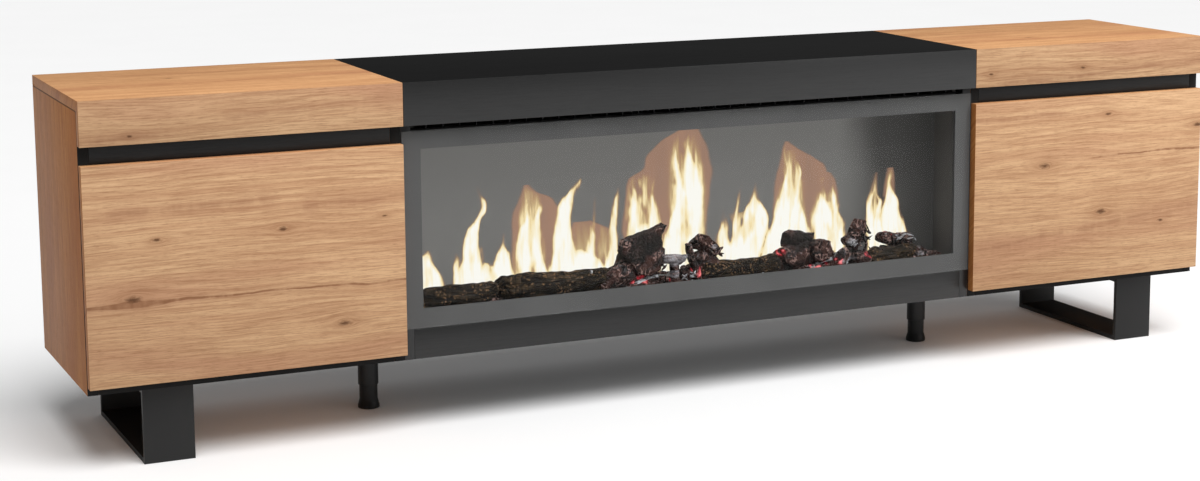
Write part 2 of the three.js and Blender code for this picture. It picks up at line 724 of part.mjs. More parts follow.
// Outer and inner faces of the casing, shared by all that stands in it.
const CASING_HALF = CENTRE_INNER_HALF - CASING_SIDE_CLEARANCE;
const CASING_BOTTOM_Z = FLOOR_Z + JOINT_GAP;
const CASING_TOP_Z = TOP_UNDER_Z - CASING_TOP_CLEARANCE;
const CASING_BACK_Y = CASING_FRONT_Y + CASING_DEPTH;
const CHAMBER_HALF = CASING_HALF - CASING_SHEET;
const CHAMBER_FLOOR_Z = CASING_BOTTOM_Z + CASING_SHEET;
const CHAMBER_FRONT_Y = CASING_FRONT_Y + CASING_SHEET;
const CHAMBER_BACK_Y = CASING_BACK_Y - CASING_SHEET;
const PARTITION_Z = WINDOW_TOP_Z + CHAMBER_HEADROOM;
const LOFT_FLOOR_Z = PARTITION_Z + CASING_SHEET;
const LOFT_TOP_Z = CASING_TOP_Z - CASING_SHEET;
const STRIP_LENGTH = 2 * (CHAMBER_HALF - STRIP_END_MARGIN);
const SPINDLE_LENGTH = 2 * (CHAMBER_HALF - SPINDLE_END_MARGIN);
const SPINDLE_Y = CARCASS_Y + BOARD + SPINDLE_SETBACK;
const SPINDLE_Z = CHAMBER_FLOOR_Z + SPINDLE_HEIGHT;
const BLOWER_Y = CASING_FRONT_Y + IMPELLER_SETBACK;
const BLOWER_Z = LOFT_FLOOR_Z + SCROLL_FOOT_LIFT + SCROLL_CLEARANCE + IMPELLER_RADIUS;
const OUTLET_LOW_Z = GLASS_TOP_Z + GRILLE_RIM / 2;
const OUTLET_HIGH_Z = APRON_BOTTOM_Z + GRILLE_RIM;
const INLET_X = CASING_HALF - INLET_INSET;
const INLET_Z = CHAMBER_FLOOR_Z + INLET_LIFT;

// Rows of air intake slots through the casing's back, beside the blower.
function intakeSlots() {
  const slots = [];
  for (let row = 0; row < INTAKE_ROWS; row += 1) {
    const z = BLOWER_Z + (row - (INTAKE_ROWS - 1) / 2) * INTAKE_ROW_PITCH;
    for (let i = 0; i < INTAKE_SLOTS; i += 1) {
      const x = (i - (INTAKE_SLOTS - 1) / 2) * INTAKE_SLOT_PITCH;
      slots.push(block(
        [x - INTAKE_SLOT_WIDTH / 2, CHAMBER_BACK_Y - CUT_OVERRUN, z - INTAKE_SLOT_HEIGHT / 2],
        [x + INTAKE_SLOT_WIDTH / 2, CASING_BACK_Y + CUT_OVERRUN, z + INTAKE_SLOT_HEIGHT / 2],
      ));
    }
  }
  return slots;
}

// Folded sheet metal casing with a flame chamber below and a heater loft above.
function casing() {
  const shell = block([-CASING_HALF, CASING_FRONT_Y, CASING_BOTTOM_Z], [CASING_HALF, CASING_BACK_Y, CASING_TOP_Z]);
  const openHalf = CHAMBER_HALF - CASING_FRONT_RIM;
  const inletHalf = INLET_WIDTH / 2 + JOINT_GAP;
  const switchX = INLET_X + SWITCH_OFFSET;
  const switchHalf = SWITCH_WIDTH / 2 + JOINT_GAP;
  const through = (x0, z0, x1, z1) => block(
    [x0, CHAMBER_BACK_Y - CUT_OVERRUN, z0],
    [x1, CASING_BACK_Y + CUT_OVERRUN, z1],
  );
  const hollow = cut(shell, [
    block([-CHAMBER_HALF, CHAMBER_FRONT_Y, CHAMBER_FLOOR_Z], [CHAMBER_HALF, CHAMBER_BACK_Y, PARTITION_Z]),
    block([-CHAMBER_HALF, CHAMBER_FRONT_Y, LOFT_FLOOR_Z], [CHAMBER_HALF, CHAMBER_BACK_Y, LOFT_TOP_Z]),
    block(
      [-openHalf, CASING_FRONT_Y - CUT_OVERRUN, GLASS_BOTTOM_Z + FLANGE_INSET],
      [openHalf, CHAMBER_FRONT_Y + CUT_OVERRUN, PARTITION_Z - CASING_SHEET],
    ),
    block(
      [-openHalf, CASING_FRONT_Y - CUT_OVERRUN, OUTLET_LOW_Z],
      [openHalf, CHAMBER_FRONT_Y + CUT_OVERRUN, OUTLET_HIGH_Z],
    ),
    ...intakeSlots(),
    through(INLET_X - inletHalf, INLET_Z - INLET_HEIGHT / 2 - JOINT_GAP,
      INLET_X + inletHalf, INLET_Z + INLET_HEIGHT / 2 + JOINT_GAP),
    through(switchX - switchHalf, INLET_Z - SWITCH_HEIGHT / 2 - JOINT_GAP,
      switchX + switchHalf, INLET_Z + SWITCH_HEIGHT / 2 + JOINT_GAP),
  ]);
  const tabX = -SPINDLE_LENGTH / 2 + BEARING_TAB;
  const tab = block(
    [tabX, SPINDLE_Y - BEARING_TAB_WIDTH / 2, CHAMBER_FLOOR_Z - CASING_SHEET / 2],
    [tabX + BEARING_TAB, SPINDLE_Y + BEARING_TAB_WIDTH / 2, SPINDLE_Z + BEARING_TAB_WIDTH / 2],
  );
  const hole = rod("x", SPINDLE_RADIUS + BEARING_CLEARANCE, BEARING_TAB + CUT_OVERRUN, BORE_STEPS)
    .translate(tabX + BEARING_TAB / 2, SPINDLE_Y, SPINDLE_Z);
  return piece("insert_casing", "blackSteel", join([hollow, cut(tab, [hole])]));
}

// Grille in the warm air slot: a bar with a row of square openings.
function outletGrille() {
  const half = CENTRE_INNER_HALF - JOINT_GAP;
  const low = GLASS_TOP_Z + JOINT_GAP;
  const frontY = CARCASS_Y + GRILLE_SETBACK;
  const backY = CASING_FRONT_Y - JOINT_GAP;
  const pitch = (2 * half - GRILLE_VANE) / GRILLE_OPENINGS;
  const openings = [];
  for (let i = 0; i < GRILLE_OPENINGS; i += 1) {
    const left = -half + GRILLE_VANE + i * pitch;
    openings.push(block(
      [left, frontY - CUT_OVERRUN, low + GRILLE_RIM],
      [left + pitch - GRILLE_VANE, backY + CUT_OVERRUN, APRON_BOTTOM_Z - GRILLE_RIM],
    ));
  }
  const bar = block([-half, frontY, low], [half, backY, APRON_BOTTOM_Z]);
  return piece("outlet_grille", "blackPlastic", cut(bar, openings));
}

// Frosted upright sheet on which the flames show.
const SCREEN_Y = CASING_FRONT_Y + SCREEN_SETBACK;

function flameScreen() {
  return board(
    "flame_screen",
    "screen",
    [-CHAMBER_HALF + SCREEN_CLEARANCE, SCREEN_Y, CHAMBER_FLOOR_Z + JOINT_GAP],
    [CHAMBER_HALF - SCREEN_CLEARANCE, SCREEN_Y + SCREEN_THICKNESS, PARTITION_Z - SCREEN_CLEARANCE],
  );
}

// Logs, and the charred chunks that are moulded in one with the ember bed. x and span are
// shares of the chamber's half width. y and radius are shares of the bed's height, and lift
// is a share of the pile's height. tilt and turn are degrees.
const LOG_SHARES = [
  { name: "log_far_left", x: -0.839, span: 0.263, y: 0.4, lift: 0.209, radius: 0.36, tilt: 2, turn: 1 },
  { name: "log_mid_left", x: -0.496, span: 0.357, y: 0.42, lift: 0.253, radius: 0.4, tilt: 0, turn: -2 },
  { name: "log_mid_right", x: 0.178, span: 0.276, y: 0.38, lift: 0.196, radius: 0.34, tilt: 1.5, turn: -3 },
  { name: "log_far_right", x: 0.776, span: 0.199, y: 0.36, lift: 0.165, radius: 0.32, tilt: -1, turn: 3 },
];
const CHUNK_SHARES = [
  { x: -0.294, span: 0.113, y: 0.34, lift: 0.265, radius: 0.42, tilt: 18, turn: 6 },
  { x: -0.199, span: 0.158, y: 0.66, lift: 0.59, radius: 0.52, tilt: 14, turn: 4 },
  { x: -0.207, span: 0.142, y: 0.48, lift: 0.152, radius: 0.32, tilt: 4, turn: -4 },
  { x: -0.075, span: 0.093, y: 0.26, lift: 0.552, radius: 0.16, tilt: -2, turn: 4 },
  { x: -0.073, span: 0.089, y: 0.26, lift: 0.24, radius: 0.16, tilt: 86, turn: 0 },
  { x: 0.004, span: 0.138, y: 0.36, lift: 0.415, radius: 0.13, tilt: -72, turn: 0 },
  { x: 0.043, span: 0.081, y: 0.64, lift: 0.727, radius: 0.18, tilt: -34, turn: 8 },
  { x: 0.049, span: 0.085, y: 0.64, lift: 0.415, radius: 0.36, tilt: -4, turn: -6 },
  { x: 0.016, span: 0.093, y: 0.68, lift: 0.165, radius: 0.28, tilt: 0, turn: 8 },
  { x: 0.411, span: 0.122, y: 0.76, lift: 0.653, radius: 0.3, tilt: -4, turn: 2 },
  { x: 0.391, span: 0.113, y: 0.44, lift: 0.352, radius: 0.4, tilt: 12, turn: -8 },
  { x: 0.494, span: 0.077, y: 0.4, lift: 0.365, radius: 0.36, tilt: 4, turn: 6 },
  { x: 0.436, span: 0.211, y: 0.52, lift: 0.152, radius: 0.28, tilt: 0, turn: 0 },
  { x: 0.569, span: 0.077, y: 0.3, lift: 0.202, radius: 0.24, tilt: 58, turn: 10 },
  { x: 0.642, span: 0.17, y: 0.74, lift: 0.552, radius: 0.22, tilt: 76, turn: 0 },
  { x: 0.606, span: 0.057, y: 0.44, lift: 0.552, radius: 0.16, tilt: -5, turn: 14 },
  { x: 0.661, span: 0.089, y: 0.32, lift: 0.152, radius: 0.24, tilt: -16, turn: -8 },
  { x: 0.806, span: 0.13, y: 0.74, lift: 0.478, radius: 0.22, tilt: -6, turn: -4 },
  { x: 0.798, span: 0.113, y: 0.76, lift: 0.177, radius: 0.3, tilt: 0, turn: 0 },
  { x: 0.875, span: 0.053, y: 0.34, lift: 0.152, radius: 0.26, tilt: 0, turn: 10 },
];
const BARK_SHARES = [0.1, 0.07, 0.05];
const BARK_LOBES = [3, 5, 8];
const LOG_BEND_SHARE = 0.16;
const LOG_END_SHARE = 0.82;
const LOG_BREAK_SHARE = 0.3;

// Radius of a log at a share of its length and an angle, as a share of its full radius.
function barkShare(along, angle, seed) {
  const lumps = BARK_SHARES.reduce((sum, share, i) => sum
    + share * Math.sin(BARK_LOBES[i] * angle + (i + 2) * Math.PI * along + seed * (i + 1)), 0);
  const end = Math.abs(2 * along - 1) ** 6;
  return (1 + lumps) * (1 - (1 - LOG_END_SHARE) * end);
}

// A log as rings of points along a bent axis, closed by a broken face at each end.
function logGeometry({ span, radius, tilt, turn }, seed, growth, rings = LOG_RINGS, sides = LOG_SIDES) {
  const positions = [];
  const full = radius * BED_HEIGHT + growth;
  const length = span * CHAMBER_HALF + 2 * growth;
  for (let ring = 0; ring <= rings; ring += 1) {
    const along = ring / rings;
    const sag = full * LOG_BEND_SHARE * Math.sin(Math.PI * 2 * along + seed);
    for (let side = 0; side < sides; side += 1) {
      const angle = (side / sides) * Math.PI * 2;
      const reach = full * barkShare(along, angle, seed);
      const slant = full * LOG_BREAK_SHARE * (2 * along - 1) * Math.sin(angle + seed);
      positions.push(
        (along - 0.5) * length + slant * Math.abs(2 * along - 1) ** 2,
        reach * Math.cos(angle),
        reach * Math.sin(angle) + sag,
      );
    }
  }
  const faces = [];
  for (let ring = 0; ring < rings; ring += 1) {
    for (let side = 0; side < sides; side += 1) {
      const a = ring * sides + side;
      const b = ring * sides + (side + 1) % sides;
      faces.push(a, b, a + sides, b, b + sides, a + sides);
    }
  }
  const last = rings * sides;
  for (let side = 1; side < sides - 1; side += 1) {
    faces.push(0, side + 1, side);
    faces.push(last, last + side, last + side + 1);
  }
  const geometry = new THREE.BufferGeometry();
  geometry.setAttribute("position", new THREE.Float32BufferAttribute(positions, 3));
  geometry.setIndex(faces);
  geometry.rotateY(THREE.MathUtils.degToRad(-tilt));
  geometry.rotateZ(THREE.MathUtils.degToRad(turn));
  geometry.computeVertexNormals();
  return geometry;
}

const BED_Z = CHAMBER_FLOOR_Z + JOINT_GAP;
const BED_FRONT_Y = CASING_FRONT_Y + BED_FRONT_SETBACK;
const BED_BACK_Y = SCREEN_Y - BED_CLEARANCE;

function logPlace(log) {
  return [log.x * CHAMBER_HALF, BED_FRONT_Y + log.y * BED_HEIGHT, BED_Z + BED_HEIGHT + PILE_HEIGHT * log.lift];
}

function placedLog(log, index, growth) {
  return logGeometry(log, index, growth).translate(...logPlace(log));
}

function placedChunk(chunk, index) {
  const seed = index + LOG_SHARES.length;
  return logGeometry(chunk, seed, 0, CHUNK_RINGS, CHUNK_SIDES).translate(...logPlace(chunk));
}

function chamberLog(log, index) {
  return at(piece(log.name, "charredLog", logGeometry(log, index, 0)), ...logPlace(log));
}

// Height of the ember bed's lumpy surface at shares of its length and depth.
const RELIEF_WAVES = [[19, 2, 0.4], [33, 3, 1.7], [52, 5, 0.9]];
const RELIEF_SHARES = [0.5, 0.32, 0.18];

function bedSurface(along, deep) {
  const lumps = RELIEF_WAVES.reduce((sum, [waves, rows, phase], i) => sum
    + RELIEF_SHARES[i] * Math.sin(waves * along * Math.PI + phase) * Math.cos(rows * deep * Math.PI + phase), 0);
  return BED_Z + BED_HEIGHT + BED_RELIEF * lumps + BED_RISE * deep;
}

// Moulded ember bed: a lumpy upper surface over a flat base, with a light channel
// underneath and seats for the logs.
function emberBed() {
  const half = CHAMBER_HALF - BED_CLEARANCE;
  const columns = BED_STEPS_LONG + 1;
  const rows = BED_STEPS_DEEP + 1;
  const positions = [];
  for (const level of ["base", "surface"]) {
    for (let row = 0; row < rows; row += 1) {
      for (let column = 0; column < columns; column += 1) {
        const along = column / BED_STEPS_LONG;
        const deep = row / BED_STEPS_DEEP;
        positions.push(
          -half + 2 * half * along,
          BED_FRONT_Y + (BED_BACK_Y - BED_FRONT_Y) * deep,
          level === "base" ? BED_Z : bedSurface(along, deep),
        );
      }
    }
  }
  const faces = [];
  const upper = rows * columns;
  const quad = (a, b, c, d) => faces.push(a, b, c, a, c, d);
  for (let row = 0; row < BED_STEPS_DEEP; row += 1) {
    for (let column = 0; column < BED_STEPS_LONG; column += 1) {
      const a = row * columns + column;
      quad(upper + a, upper + a + 1, upper + a + columns + 1, upper + a + columns);
      quad(a, a + columns, a + columns + 1, a + 1);
    }
  }
  const backRow = BED_STEPS_DEEP * columns;
  for (let column = 0; column < BED_STEPS_LONG; column += 1) {
    quad(column, column + 1, upper + column + 1, upper + column);
    quad(backRow + column + 1, backRow + column, upper + backRow + column, upper + backRow + column + 1);
  }
  for (let row = 0; row < BED_STEPS_DEEP; row += 1) {
    const a = row * columns;
    const b = a + BED_STEPS_LONG;
    quad(a + columns, a, upper + a, upper + a + columns);
    quad(b, b + columns, upper + b + columns, upper + b);
  }
  const geometry = new THREE.BufferGeometry();
  geometry.setAttribute("position", new THREE.Float32BufferAttribute(positions, 3));
  geometry.setIndex(faces);
  const channel = block(
    [-half - CUT_OVERRUN, BED_FRONT_Y + BED_CHANNEL_WALL, BED_Z - CUT_OVERRUN],
    [half + CUT_OVERRUN, BED_BACK_Y - BED_CHANNEL_WALL, BED_Z + BED_CHANNEL_HEIGHT],
  );
  const chunks = CHUNK_SHARES.map((chunk, index) => placedChunk(chunk, index));
  const seats = LOG_SHARES.map((log, index) => placedLog(log, index, LOG_SEAT));
  return piece("ember_bed", "embers", cut(join([geometry, ...chunks]), [channel, ...seats]));
}

// A light strip: its board with a row of lamps, lying along X.
function lightStrip(name, y) {
  const z = CHAMBER_FLOOR_Z + JOINT_GAP;
  const parts = [block(
    [-STRIP_LENGTH / 2, y - STRIP_WIDTH / 2, z],
    [STRIP_LENGTH / 2, y + STRIP_WIDTH / 2, z + STRIP_BOARD],
  )];
  const pitch = STRIP_LENGTH / LAMPS_PER_STRIP;
  for (let i = 0; i < LAMPS_PER_STRIP; i += 1) {
    const x = -STRIP_LENGTH / 2 + (i + 0.5) * pitch;
    parts.push(block(
      [x - LAMP_SIZE / 2, y - LAMP_SIZE / 2, z + STRIP_BOARD / 2],
      [x + LAMP_SIZE / 2, y + LAMP_SIZE / 2, z + STRIP_BOARD + LAMP_HEIGHT],
    ));
  }
  return piece(name, "lightBoard", join(parts));
}

// Turning spindle whose bright flags throw the moving flame light on the screen.
function flickerSpindle() {
  const parts = [rod("x", SPINDLE_RADIUS, SPINDLE_LENGTH, BORE_STEPS)];
  const run = SPINDLE_LENGTH - 2 * FLAG_LENGTH;
  for (let i = 0; i < SPINDLE_FLAGS; i += 1) {
    const flag = new THREE.BoxGeometry(FLAG_LENGTH, FLAG_WIDTH, FLAG_SHEET);
    flag.rotateX(THREE.MathUtils.degToRad(i * FLAG_TURN));
    parts.push(flag.translate(-run / 2 + (i + 0.5) * run / SPINDLE_FLAGS, 0, 0));
  }
  return at(piece("flicker_spindle", "brightSteel", join(parts)), 0, SPINDLE_Y, SPINDLE_Z);
}

// Small geared motor that turns the spindle, on its own foot.
function flickerMotor() {
  const start = SPINDLE_LENGTH / 2 - MOTOR_SHAFT_SEAT;
  const can = rod("x", MOTOR_RADIUS, MOTOR_LENGTH).translate(start + MOTOR_LENGTH / 2, 0, 0);
  const foot = block(
    [start + MOTOR_GAP, -MOTOR_FOOT / 2, CHAMBER_FLOOR_Z + JOINT_GAP - SPINDLE_Z],
    [start + MOTOR_LENGTH - MOTOR_GAP, MOTOR_FOOT / 2, 0],
  );
  const length = MOTOR_SHAFT_SEAT + MOTOR_GAP + CUT_OVERRUN;
  const seat = rod("x", SPINDLE_RADIUS + BEARING_CLEARANCE, length, BORE_STEPS)
    .translate(start - CUT_OVERRUN + length / 2, 0, 0);
  return at(piece("flicker_motor", "zincSteel", cut(join([can, foot]), [seat])), 0, SPINDLE_Y, SPINDLE_Z);
}

// One curved blade of the blower wheel, as its section in the wheel's plane.
function bladeSection(angle) {
  const lean = THREE.MathUtils.degToRad(BLADE_LEAN);
  const outerR = IMPELLER_RADIUS;
  const middleR = IMPELLER_RADIUS - BLADE_DEPTH / 2;
  const innerR = IMPELLER_RADIUS - BLADE_DEPTH;
  const point = (radius, turn) => [radius * Math.cos(turn), radius * Math.sin(turn)];
  const thick = BLADE_SHEET / IMPELLER_RADIUS;
  return outline([
    point(outerR, angle + lean),
    point(middleR, angle + lean / 3),
    point(innerR, angle),
    point(innerR, angle + thick),
    point(middleR, angle + lean / 3 + thick),
    point(outerR, angle + lean + thick),
  ]);
}

// Drum wheel of the blower: curved blades between round discs, on one shaft.
function blowerImpeller() {
  const half = IMPELLER_LENGTH / 2;
  const reach = half + BLOWER_END_GAP + BLOWER_END_SHEET + CUT_OVERRUN;
  const shaftEnd = reach + BLOWER_MOTOR_NECK_LENGTH;
  const parts = [rod("x", IMPELLER_SHAFT, reach + shaftEnd, BORE_STEPS).translate((shaftEnd - reach) / 2, 0, 0)];
  for (const x of [-half + IMPELLER_DISC / 2, 0, half - IMPELLER_DISC / 2]) {
    parts.push(rod("x", IMPELLER_RADIUS - BLADE_SHEET, IMPELLER_DISC).translate(x, 0, 0));
  }
  for (let i = 0; i < IMPELLER_BLADES; i += 1) {
    parts.push(alongX(bladeSection((i / IMPELLER_BLADES) * Math.PI * 2), -half, half));
  }
  return at(piece("blower_impeller", "zincSteel", join(parts)), 0, BLOWER_Y, BLOWER_Z);
}

// Point of the scroll at an angle, counted from straight down towards the back.
function scrollPoint(share, offset) {
  const angle = -Math.PI / 2 + share * Math.PI * 0.85;
  const radius = IMPELLER_RADIUS + SCROLL_CLEARANCE + SCROLL_GROWTH * share + offset;
  return [radius * Math.cos(angle), radius * Math.sin(angle)];
}

// Scroll housing of the blower: the curved guide, the tongue and the two end plates.
function blowerHousing() {
  const half = IMPELLER_LENGTH / 2 + BLOWER_END_GAP;
  const mouth = CHAMBER_FRONT_Y + JOINT_GAP - BLOWER_Y;
  const low = OUTLET_LOW_Z - BLOWER_Z;
  const high = OUTLET_HIGH_Z - BLOWER_Z;
  const inside = [];
  const outside = [];
  for (let i = 0; i <= SCROLL_STEPS; i += 1) {
    inside.push(scrollPoint(i / SCROLL_STEPS, 0));
    outside.push(scrollPoint(i / SCROLL_STEPS, SCROLL_SHEET));
  }
  const guide = outline([[mouth, low], ...inside, ...outside.reverse(), [mouth, low - SCROLL_SHEET]]);
  const tip = -(IMPELLER_RADIUS + TONGUE_CLEARANCE);
  const tongue = outline([
    [mouth, high],
    [tip - SCROLL_SHEET, high + SCROLL_CLEARANCE],
    [tip - SCROLL_SHEET, high + 3 * SCROLL_CLEARANCE],
    [tip - 2 * SCROLL_SHEET, high + 3 * SCROLL_CLEARANCE],
    [tip - 2 * SCROLL_SHEET, high + SCROLL_CLEARANCE + SCROLL_SHEET],
    [mouth, high + SCROLL_SHEET],
  ]);
  const back = IMPELLER_RADIUS + SCROLL_CLEARANCE + SCROLL_GROWTH + BLOWER_END_MARGIN;
  const base = LOFT_FLOOR_Z + JOINT_GAP - BLOWER_Z;
  const roof = IMPELLER_RADIUS + BLOWER_END_MARGIN;
  const plate = outline([[mouth, base], [back, base], [back, roof], [mouth / 2, roof], [mouth, high + SCROLL_SHEET]]);
  const ends = [-half - BLOWER_END_SHEET, half].map((x) => alongX(plate, x, x + BLOWER_END_SHEET));
  const holes = [-1, 1].map((end) => rod(
    "x",
    IMPELLER_SHAFT + BEARING_CLEARANCE,
    BLOWER_END_SHEET + CUT_OVERRUN,
    BORE_STEPS,
  ).translate(end * (half + BLOWER_END_SHEET / 2), 0, 0));
  const reach = half + BLOWER_END_SHEET / 2;
  const shell = join([alongX(guide, -reach, reach), alongX(tongue, -reach, reach), ...ends]);
  return at(piece("blower_housing", "greySteel", cut(shell, holes)), 0, BLOWER_Y, BLOWER_Z);
}

// Motor of the blower, on the outside of the right end plate.
function blowerMotor() {
  const start = IMPELLER_LENGTH / 2 + BLOWER_END_GAP + BLOWER_END_SHEET + JOINT_GAP;
  const bore = IMPELLER_SHAFT + BEARING_CLEARANCE;
  const seat = CUT_OVERRUN + BLOWER_MOTOR_NECK_LENGTH + 2 * JOINT_GAP;
  const body = turned("x", [
    [bore, 0],
    [BLOWER_MOTOR_NECK, 0],
    [BLOWER_MOTOR_NECK, BLOWER_MOTOR_NECK_LENGTH],
    [BLOWER_MOTOR_RADIUS, BLOWER_MOTOR_NECK_LENGTH],
    [BLOWER_MOTOR_RADIUS, BLOWER_MOTOR_LENGTH],
    [0, BLOWER_MOTOR_LENGTH],
    [0, seat],
    [bore, seat],
    [bore, 0],
  ]);
  return at(piece("blower_motor", "zincSteel", body), start, BLOWER_Y, BLOWER_Z);
}

// Finned heater between the blower's end plates, in the outlet duct.
function heaterElement() {
  const half = IMPELLER_LENGTH / 2 + BLOWER_END_GAP - JOINT_GAP;
  const frontY = CHAMBER_FRONT_Y + HEATER_SETBACK;
  const low = OUTLET_LOW_Z + JOINT_GAP;
  const high = OUTLET_HIGH_Z - JOINT_GAP;
  const middle = (low + high) / 2;
  const parts = [block(
    [-half, frontY, middle - HEATER_BAR / 2],
    [half, frontY + HEATER_DEPTH, middle + HEATER_BAR / 2],
  )];
  const pitch = (2 * half - HEATER_FIN) / (HEATER_FINS - 1);
  for (let i = 0; i < HEATER_FINS; i += 1) {
    const x = -half + i * pitch;
    parts.push(block([x, frontY, low], [x + HEATER_FIN, frontY + HEATER_DEPTH, high]));
  }
  return piece("heater_element", "zincSteel", join(parts));
}

// Mains inlet with a switch bay: one flange, the inlet's shroud with two cut corners and
// three pins in its floor, and the well of the rocker beside it.
const SWITCH_INNER_HALF_X = SWITCH_WIDTH / 2 - SWITCH_WALL;
const SWITCH_INNER_HALF_Z = SWITCH_HEIGHT / 2 - SWITCH_WALL;
const INLET_FACE = JOINT_GAP + INLET_FLANGE;

function powerInlet() {
  const shroud = (halfX, halfZ) => outline([
    [-halfX + INLET_CHAMFER, -halfZ],
    [halfX - INLET_CHAMFER, -halfZ],
    [halfX, -halfZ + INLET_CHAMFER],
    [halfX, halfZ],
    [-halfX, halfZ],
    [-halfX, -halfZ + INLET_CHAMFER],
  ]);
  const floorY = INLET_FACE - INLET_DEPTH;
  const body = join([
    block(
      [-INLET_WIDTH / 2 - INLET_MARGIN, JOINT_GAP, -INLET_HEIGHT / 2 - INLET_MARGIN],
      [SWITCH_OFFSET + SWITCH_WIDTH / 2 + INLET_MARGIN, INLET_FACE, INLET_HEIGHT / 2 + INLET_MARGIN],
    ),
    alongY(shroud(INLET_WIDTH / 2, INLET_HEIGHT / 2), floorY - INLET_WALL, INLET_FACE - INLET_FLANGE / 2),
    block(
      [SWITCH_OFFSET - SWITCH_WIDTH / 2, INLET_FACE - SWITCH_DEPTH, -SWITCH_HEIGHT / 2],
      [SWITCH_OFFSET + SWITCH_WIDTH / 2, INLET_FACE - INLET_FLANGE / 2, SWITCH_HEIGHT / 2],
    ),
  ]);
  const hollow = cut(body, [
    alongY(shroud(INLET_WIDTH / 2 - INLET_WALL, INLET_HEIGHT / 2 - INLET_WALL), floorY, INLET_FACE + CUT_OVERRUN),
    block(
      [SWITCH_OFFSET - SWITCH_INNER_HALF_X, INLET_FACE - SWITCH_DEPTH + SWITCH_WALL, -SWITCH_INNER_HALF_Z],
      [SWITCH_OFFSET + SWITCH_INNER_HALF_X, INLET_FACE + CUT_OVERRUN, SWITCH_INNER_HALF_Z],
    ),
  ]);
  const pins = [[-INLET_PIN_PITCH, 0], [INLET_PIN_PITCH, 0], [0, -INLET_EARTH_DROP]].map(([x, z]) => block(
    [x - INLET_PIN_WIDTH / 2, floorY - INLET_WALL / 2, z - INLET_PIN_HEIGHT / 2],
    [x + INLET_PIN_WIDTH / 2, floorY + INLET_PIN_LENGTH, z + INLET_PIN_HEIGHT / 2],
  ));
  const geometry = join([hollow, ...pins]);
  return at(piece("power_inlet", "blackPlastic", geometry), INLET_X, CASING_BACK_Y, INLET_Z);
}

// Rocker of the switch, on a barrel across its middle. It rests tilted to one side.
function switchRocker() {
  const tilt = THREE.MathUtils.degToRad(ROCKER_TILT);
  const half = (SWITCH_INNER_HALF_X - ROCKER_CLEARANCE) * Math.cos(tilt) - ROCKER_RISE * Math.sin(tilt);
  const rise = ROCKER_RISE + half * Math.tan(tilt);
  const rocker = alongZ(outline([
    [-half, rise],
    [-half, 0],
    [-ROCKER_BARREL, -ROCKER_BARREL],
    [ROCKER_BARREL, -ROCKER_BARREL],
    [half, 0],
    [half, rise],
    [0, ROCKER_RISE],
  ]), -SWITCH_INNER_HALF_Z + ROCKER_CLEARANCE, SWITCH_INNER_HALF_Z - ROCKER_CLEARANCE).rotateZ(-tilt);
  const y = CASING_BACK_Y + INLET_FACE - ROCKER_SETBACK;
  return at(piece("switch_rocker", "blackPlastic", rocker), INLET_X + SWITCH_OFFSET, y, INLET_Z);
}

// The complete fire insert.
function fireInsert() {
  const group = new THREE.Group();
  group.add(
    glassFront(),
    frontFrame(),
    casing(),
    outletGrille(),
    flameScreen(),
    emberBed(),
    ...LOG_SHARES.map((log, index) => chamberLog(log, index)),
    lightStrip("ember_light_strip", (BED_FRONT_Y + BED_BACK_Y) / 2),
    lightStrip("flame_light_strip", CASING_FRONT_Y + FLAME_STRIP_SETBACK),
    flickerSpindle(),
    flickerMotor(),
    blowerHousing(),
    blowerImpeller(),
    blowerMotor(),
    heaterElement(),
    powerInlet(),
    switchRocker(),
  );
  return group;
}

const cabinet = new THREE.Group();
for (const side of [-1, 1]) {
  cabinet.add(endCabinet(side), sledLeg(`${SIDE_NAMES[side]}_sled_leg`, side), supportLeg(side));
}
cabinet.add(centreCarcass(), fireInsert());

export default cabinet;
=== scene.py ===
"""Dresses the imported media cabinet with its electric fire, and sets the studio round it.

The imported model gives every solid. This script gives the boards their softened edges and
their decor, the fire its logs, coals, glow and flames, and lights the whole.
"""

import logging
import math
import random
from dataclasses import dataclass, field
from enum import Enum

import bmesh
import bpy
from mathutils import Euler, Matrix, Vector, noise
from mathutils.bvhtree import BVHTree


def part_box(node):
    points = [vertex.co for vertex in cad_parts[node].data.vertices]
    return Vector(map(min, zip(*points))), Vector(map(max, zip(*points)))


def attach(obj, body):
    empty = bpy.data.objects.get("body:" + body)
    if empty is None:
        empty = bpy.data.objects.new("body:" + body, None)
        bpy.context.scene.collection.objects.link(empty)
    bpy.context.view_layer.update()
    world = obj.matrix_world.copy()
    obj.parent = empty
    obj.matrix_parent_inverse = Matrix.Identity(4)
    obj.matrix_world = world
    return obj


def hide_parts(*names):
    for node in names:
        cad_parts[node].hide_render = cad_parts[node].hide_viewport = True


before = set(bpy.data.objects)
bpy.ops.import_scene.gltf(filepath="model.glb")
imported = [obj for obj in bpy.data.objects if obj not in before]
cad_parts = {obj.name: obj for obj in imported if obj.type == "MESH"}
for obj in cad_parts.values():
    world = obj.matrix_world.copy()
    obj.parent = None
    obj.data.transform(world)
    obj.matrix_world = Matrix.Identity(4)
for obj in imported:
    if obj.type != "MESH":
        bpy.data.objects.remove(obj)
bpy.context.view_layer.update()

log = logging.getLogger("cabinet")
MM = 0.001
WELD = 0.002 * MM
BLACK = NO_SHIFT = (0.0, 0.0, 0.0)
EVEN = WHITE = (1.0, 1.0, 1.0)
Pair = tuple[float, float]
Triple = tuple[float, float, float]
Material = bpy.types.Material
Shape = bmesh.types.BMesh
Socket = bpy.types.NodeSocket
Tree = bpy.types.NodeTree


class Grain(Enum):
    """The way the decor runs on a board: the axes that lie along and across the grain."""

    ALONG = "XYZ"
    UPRIGHT = "ZYX"


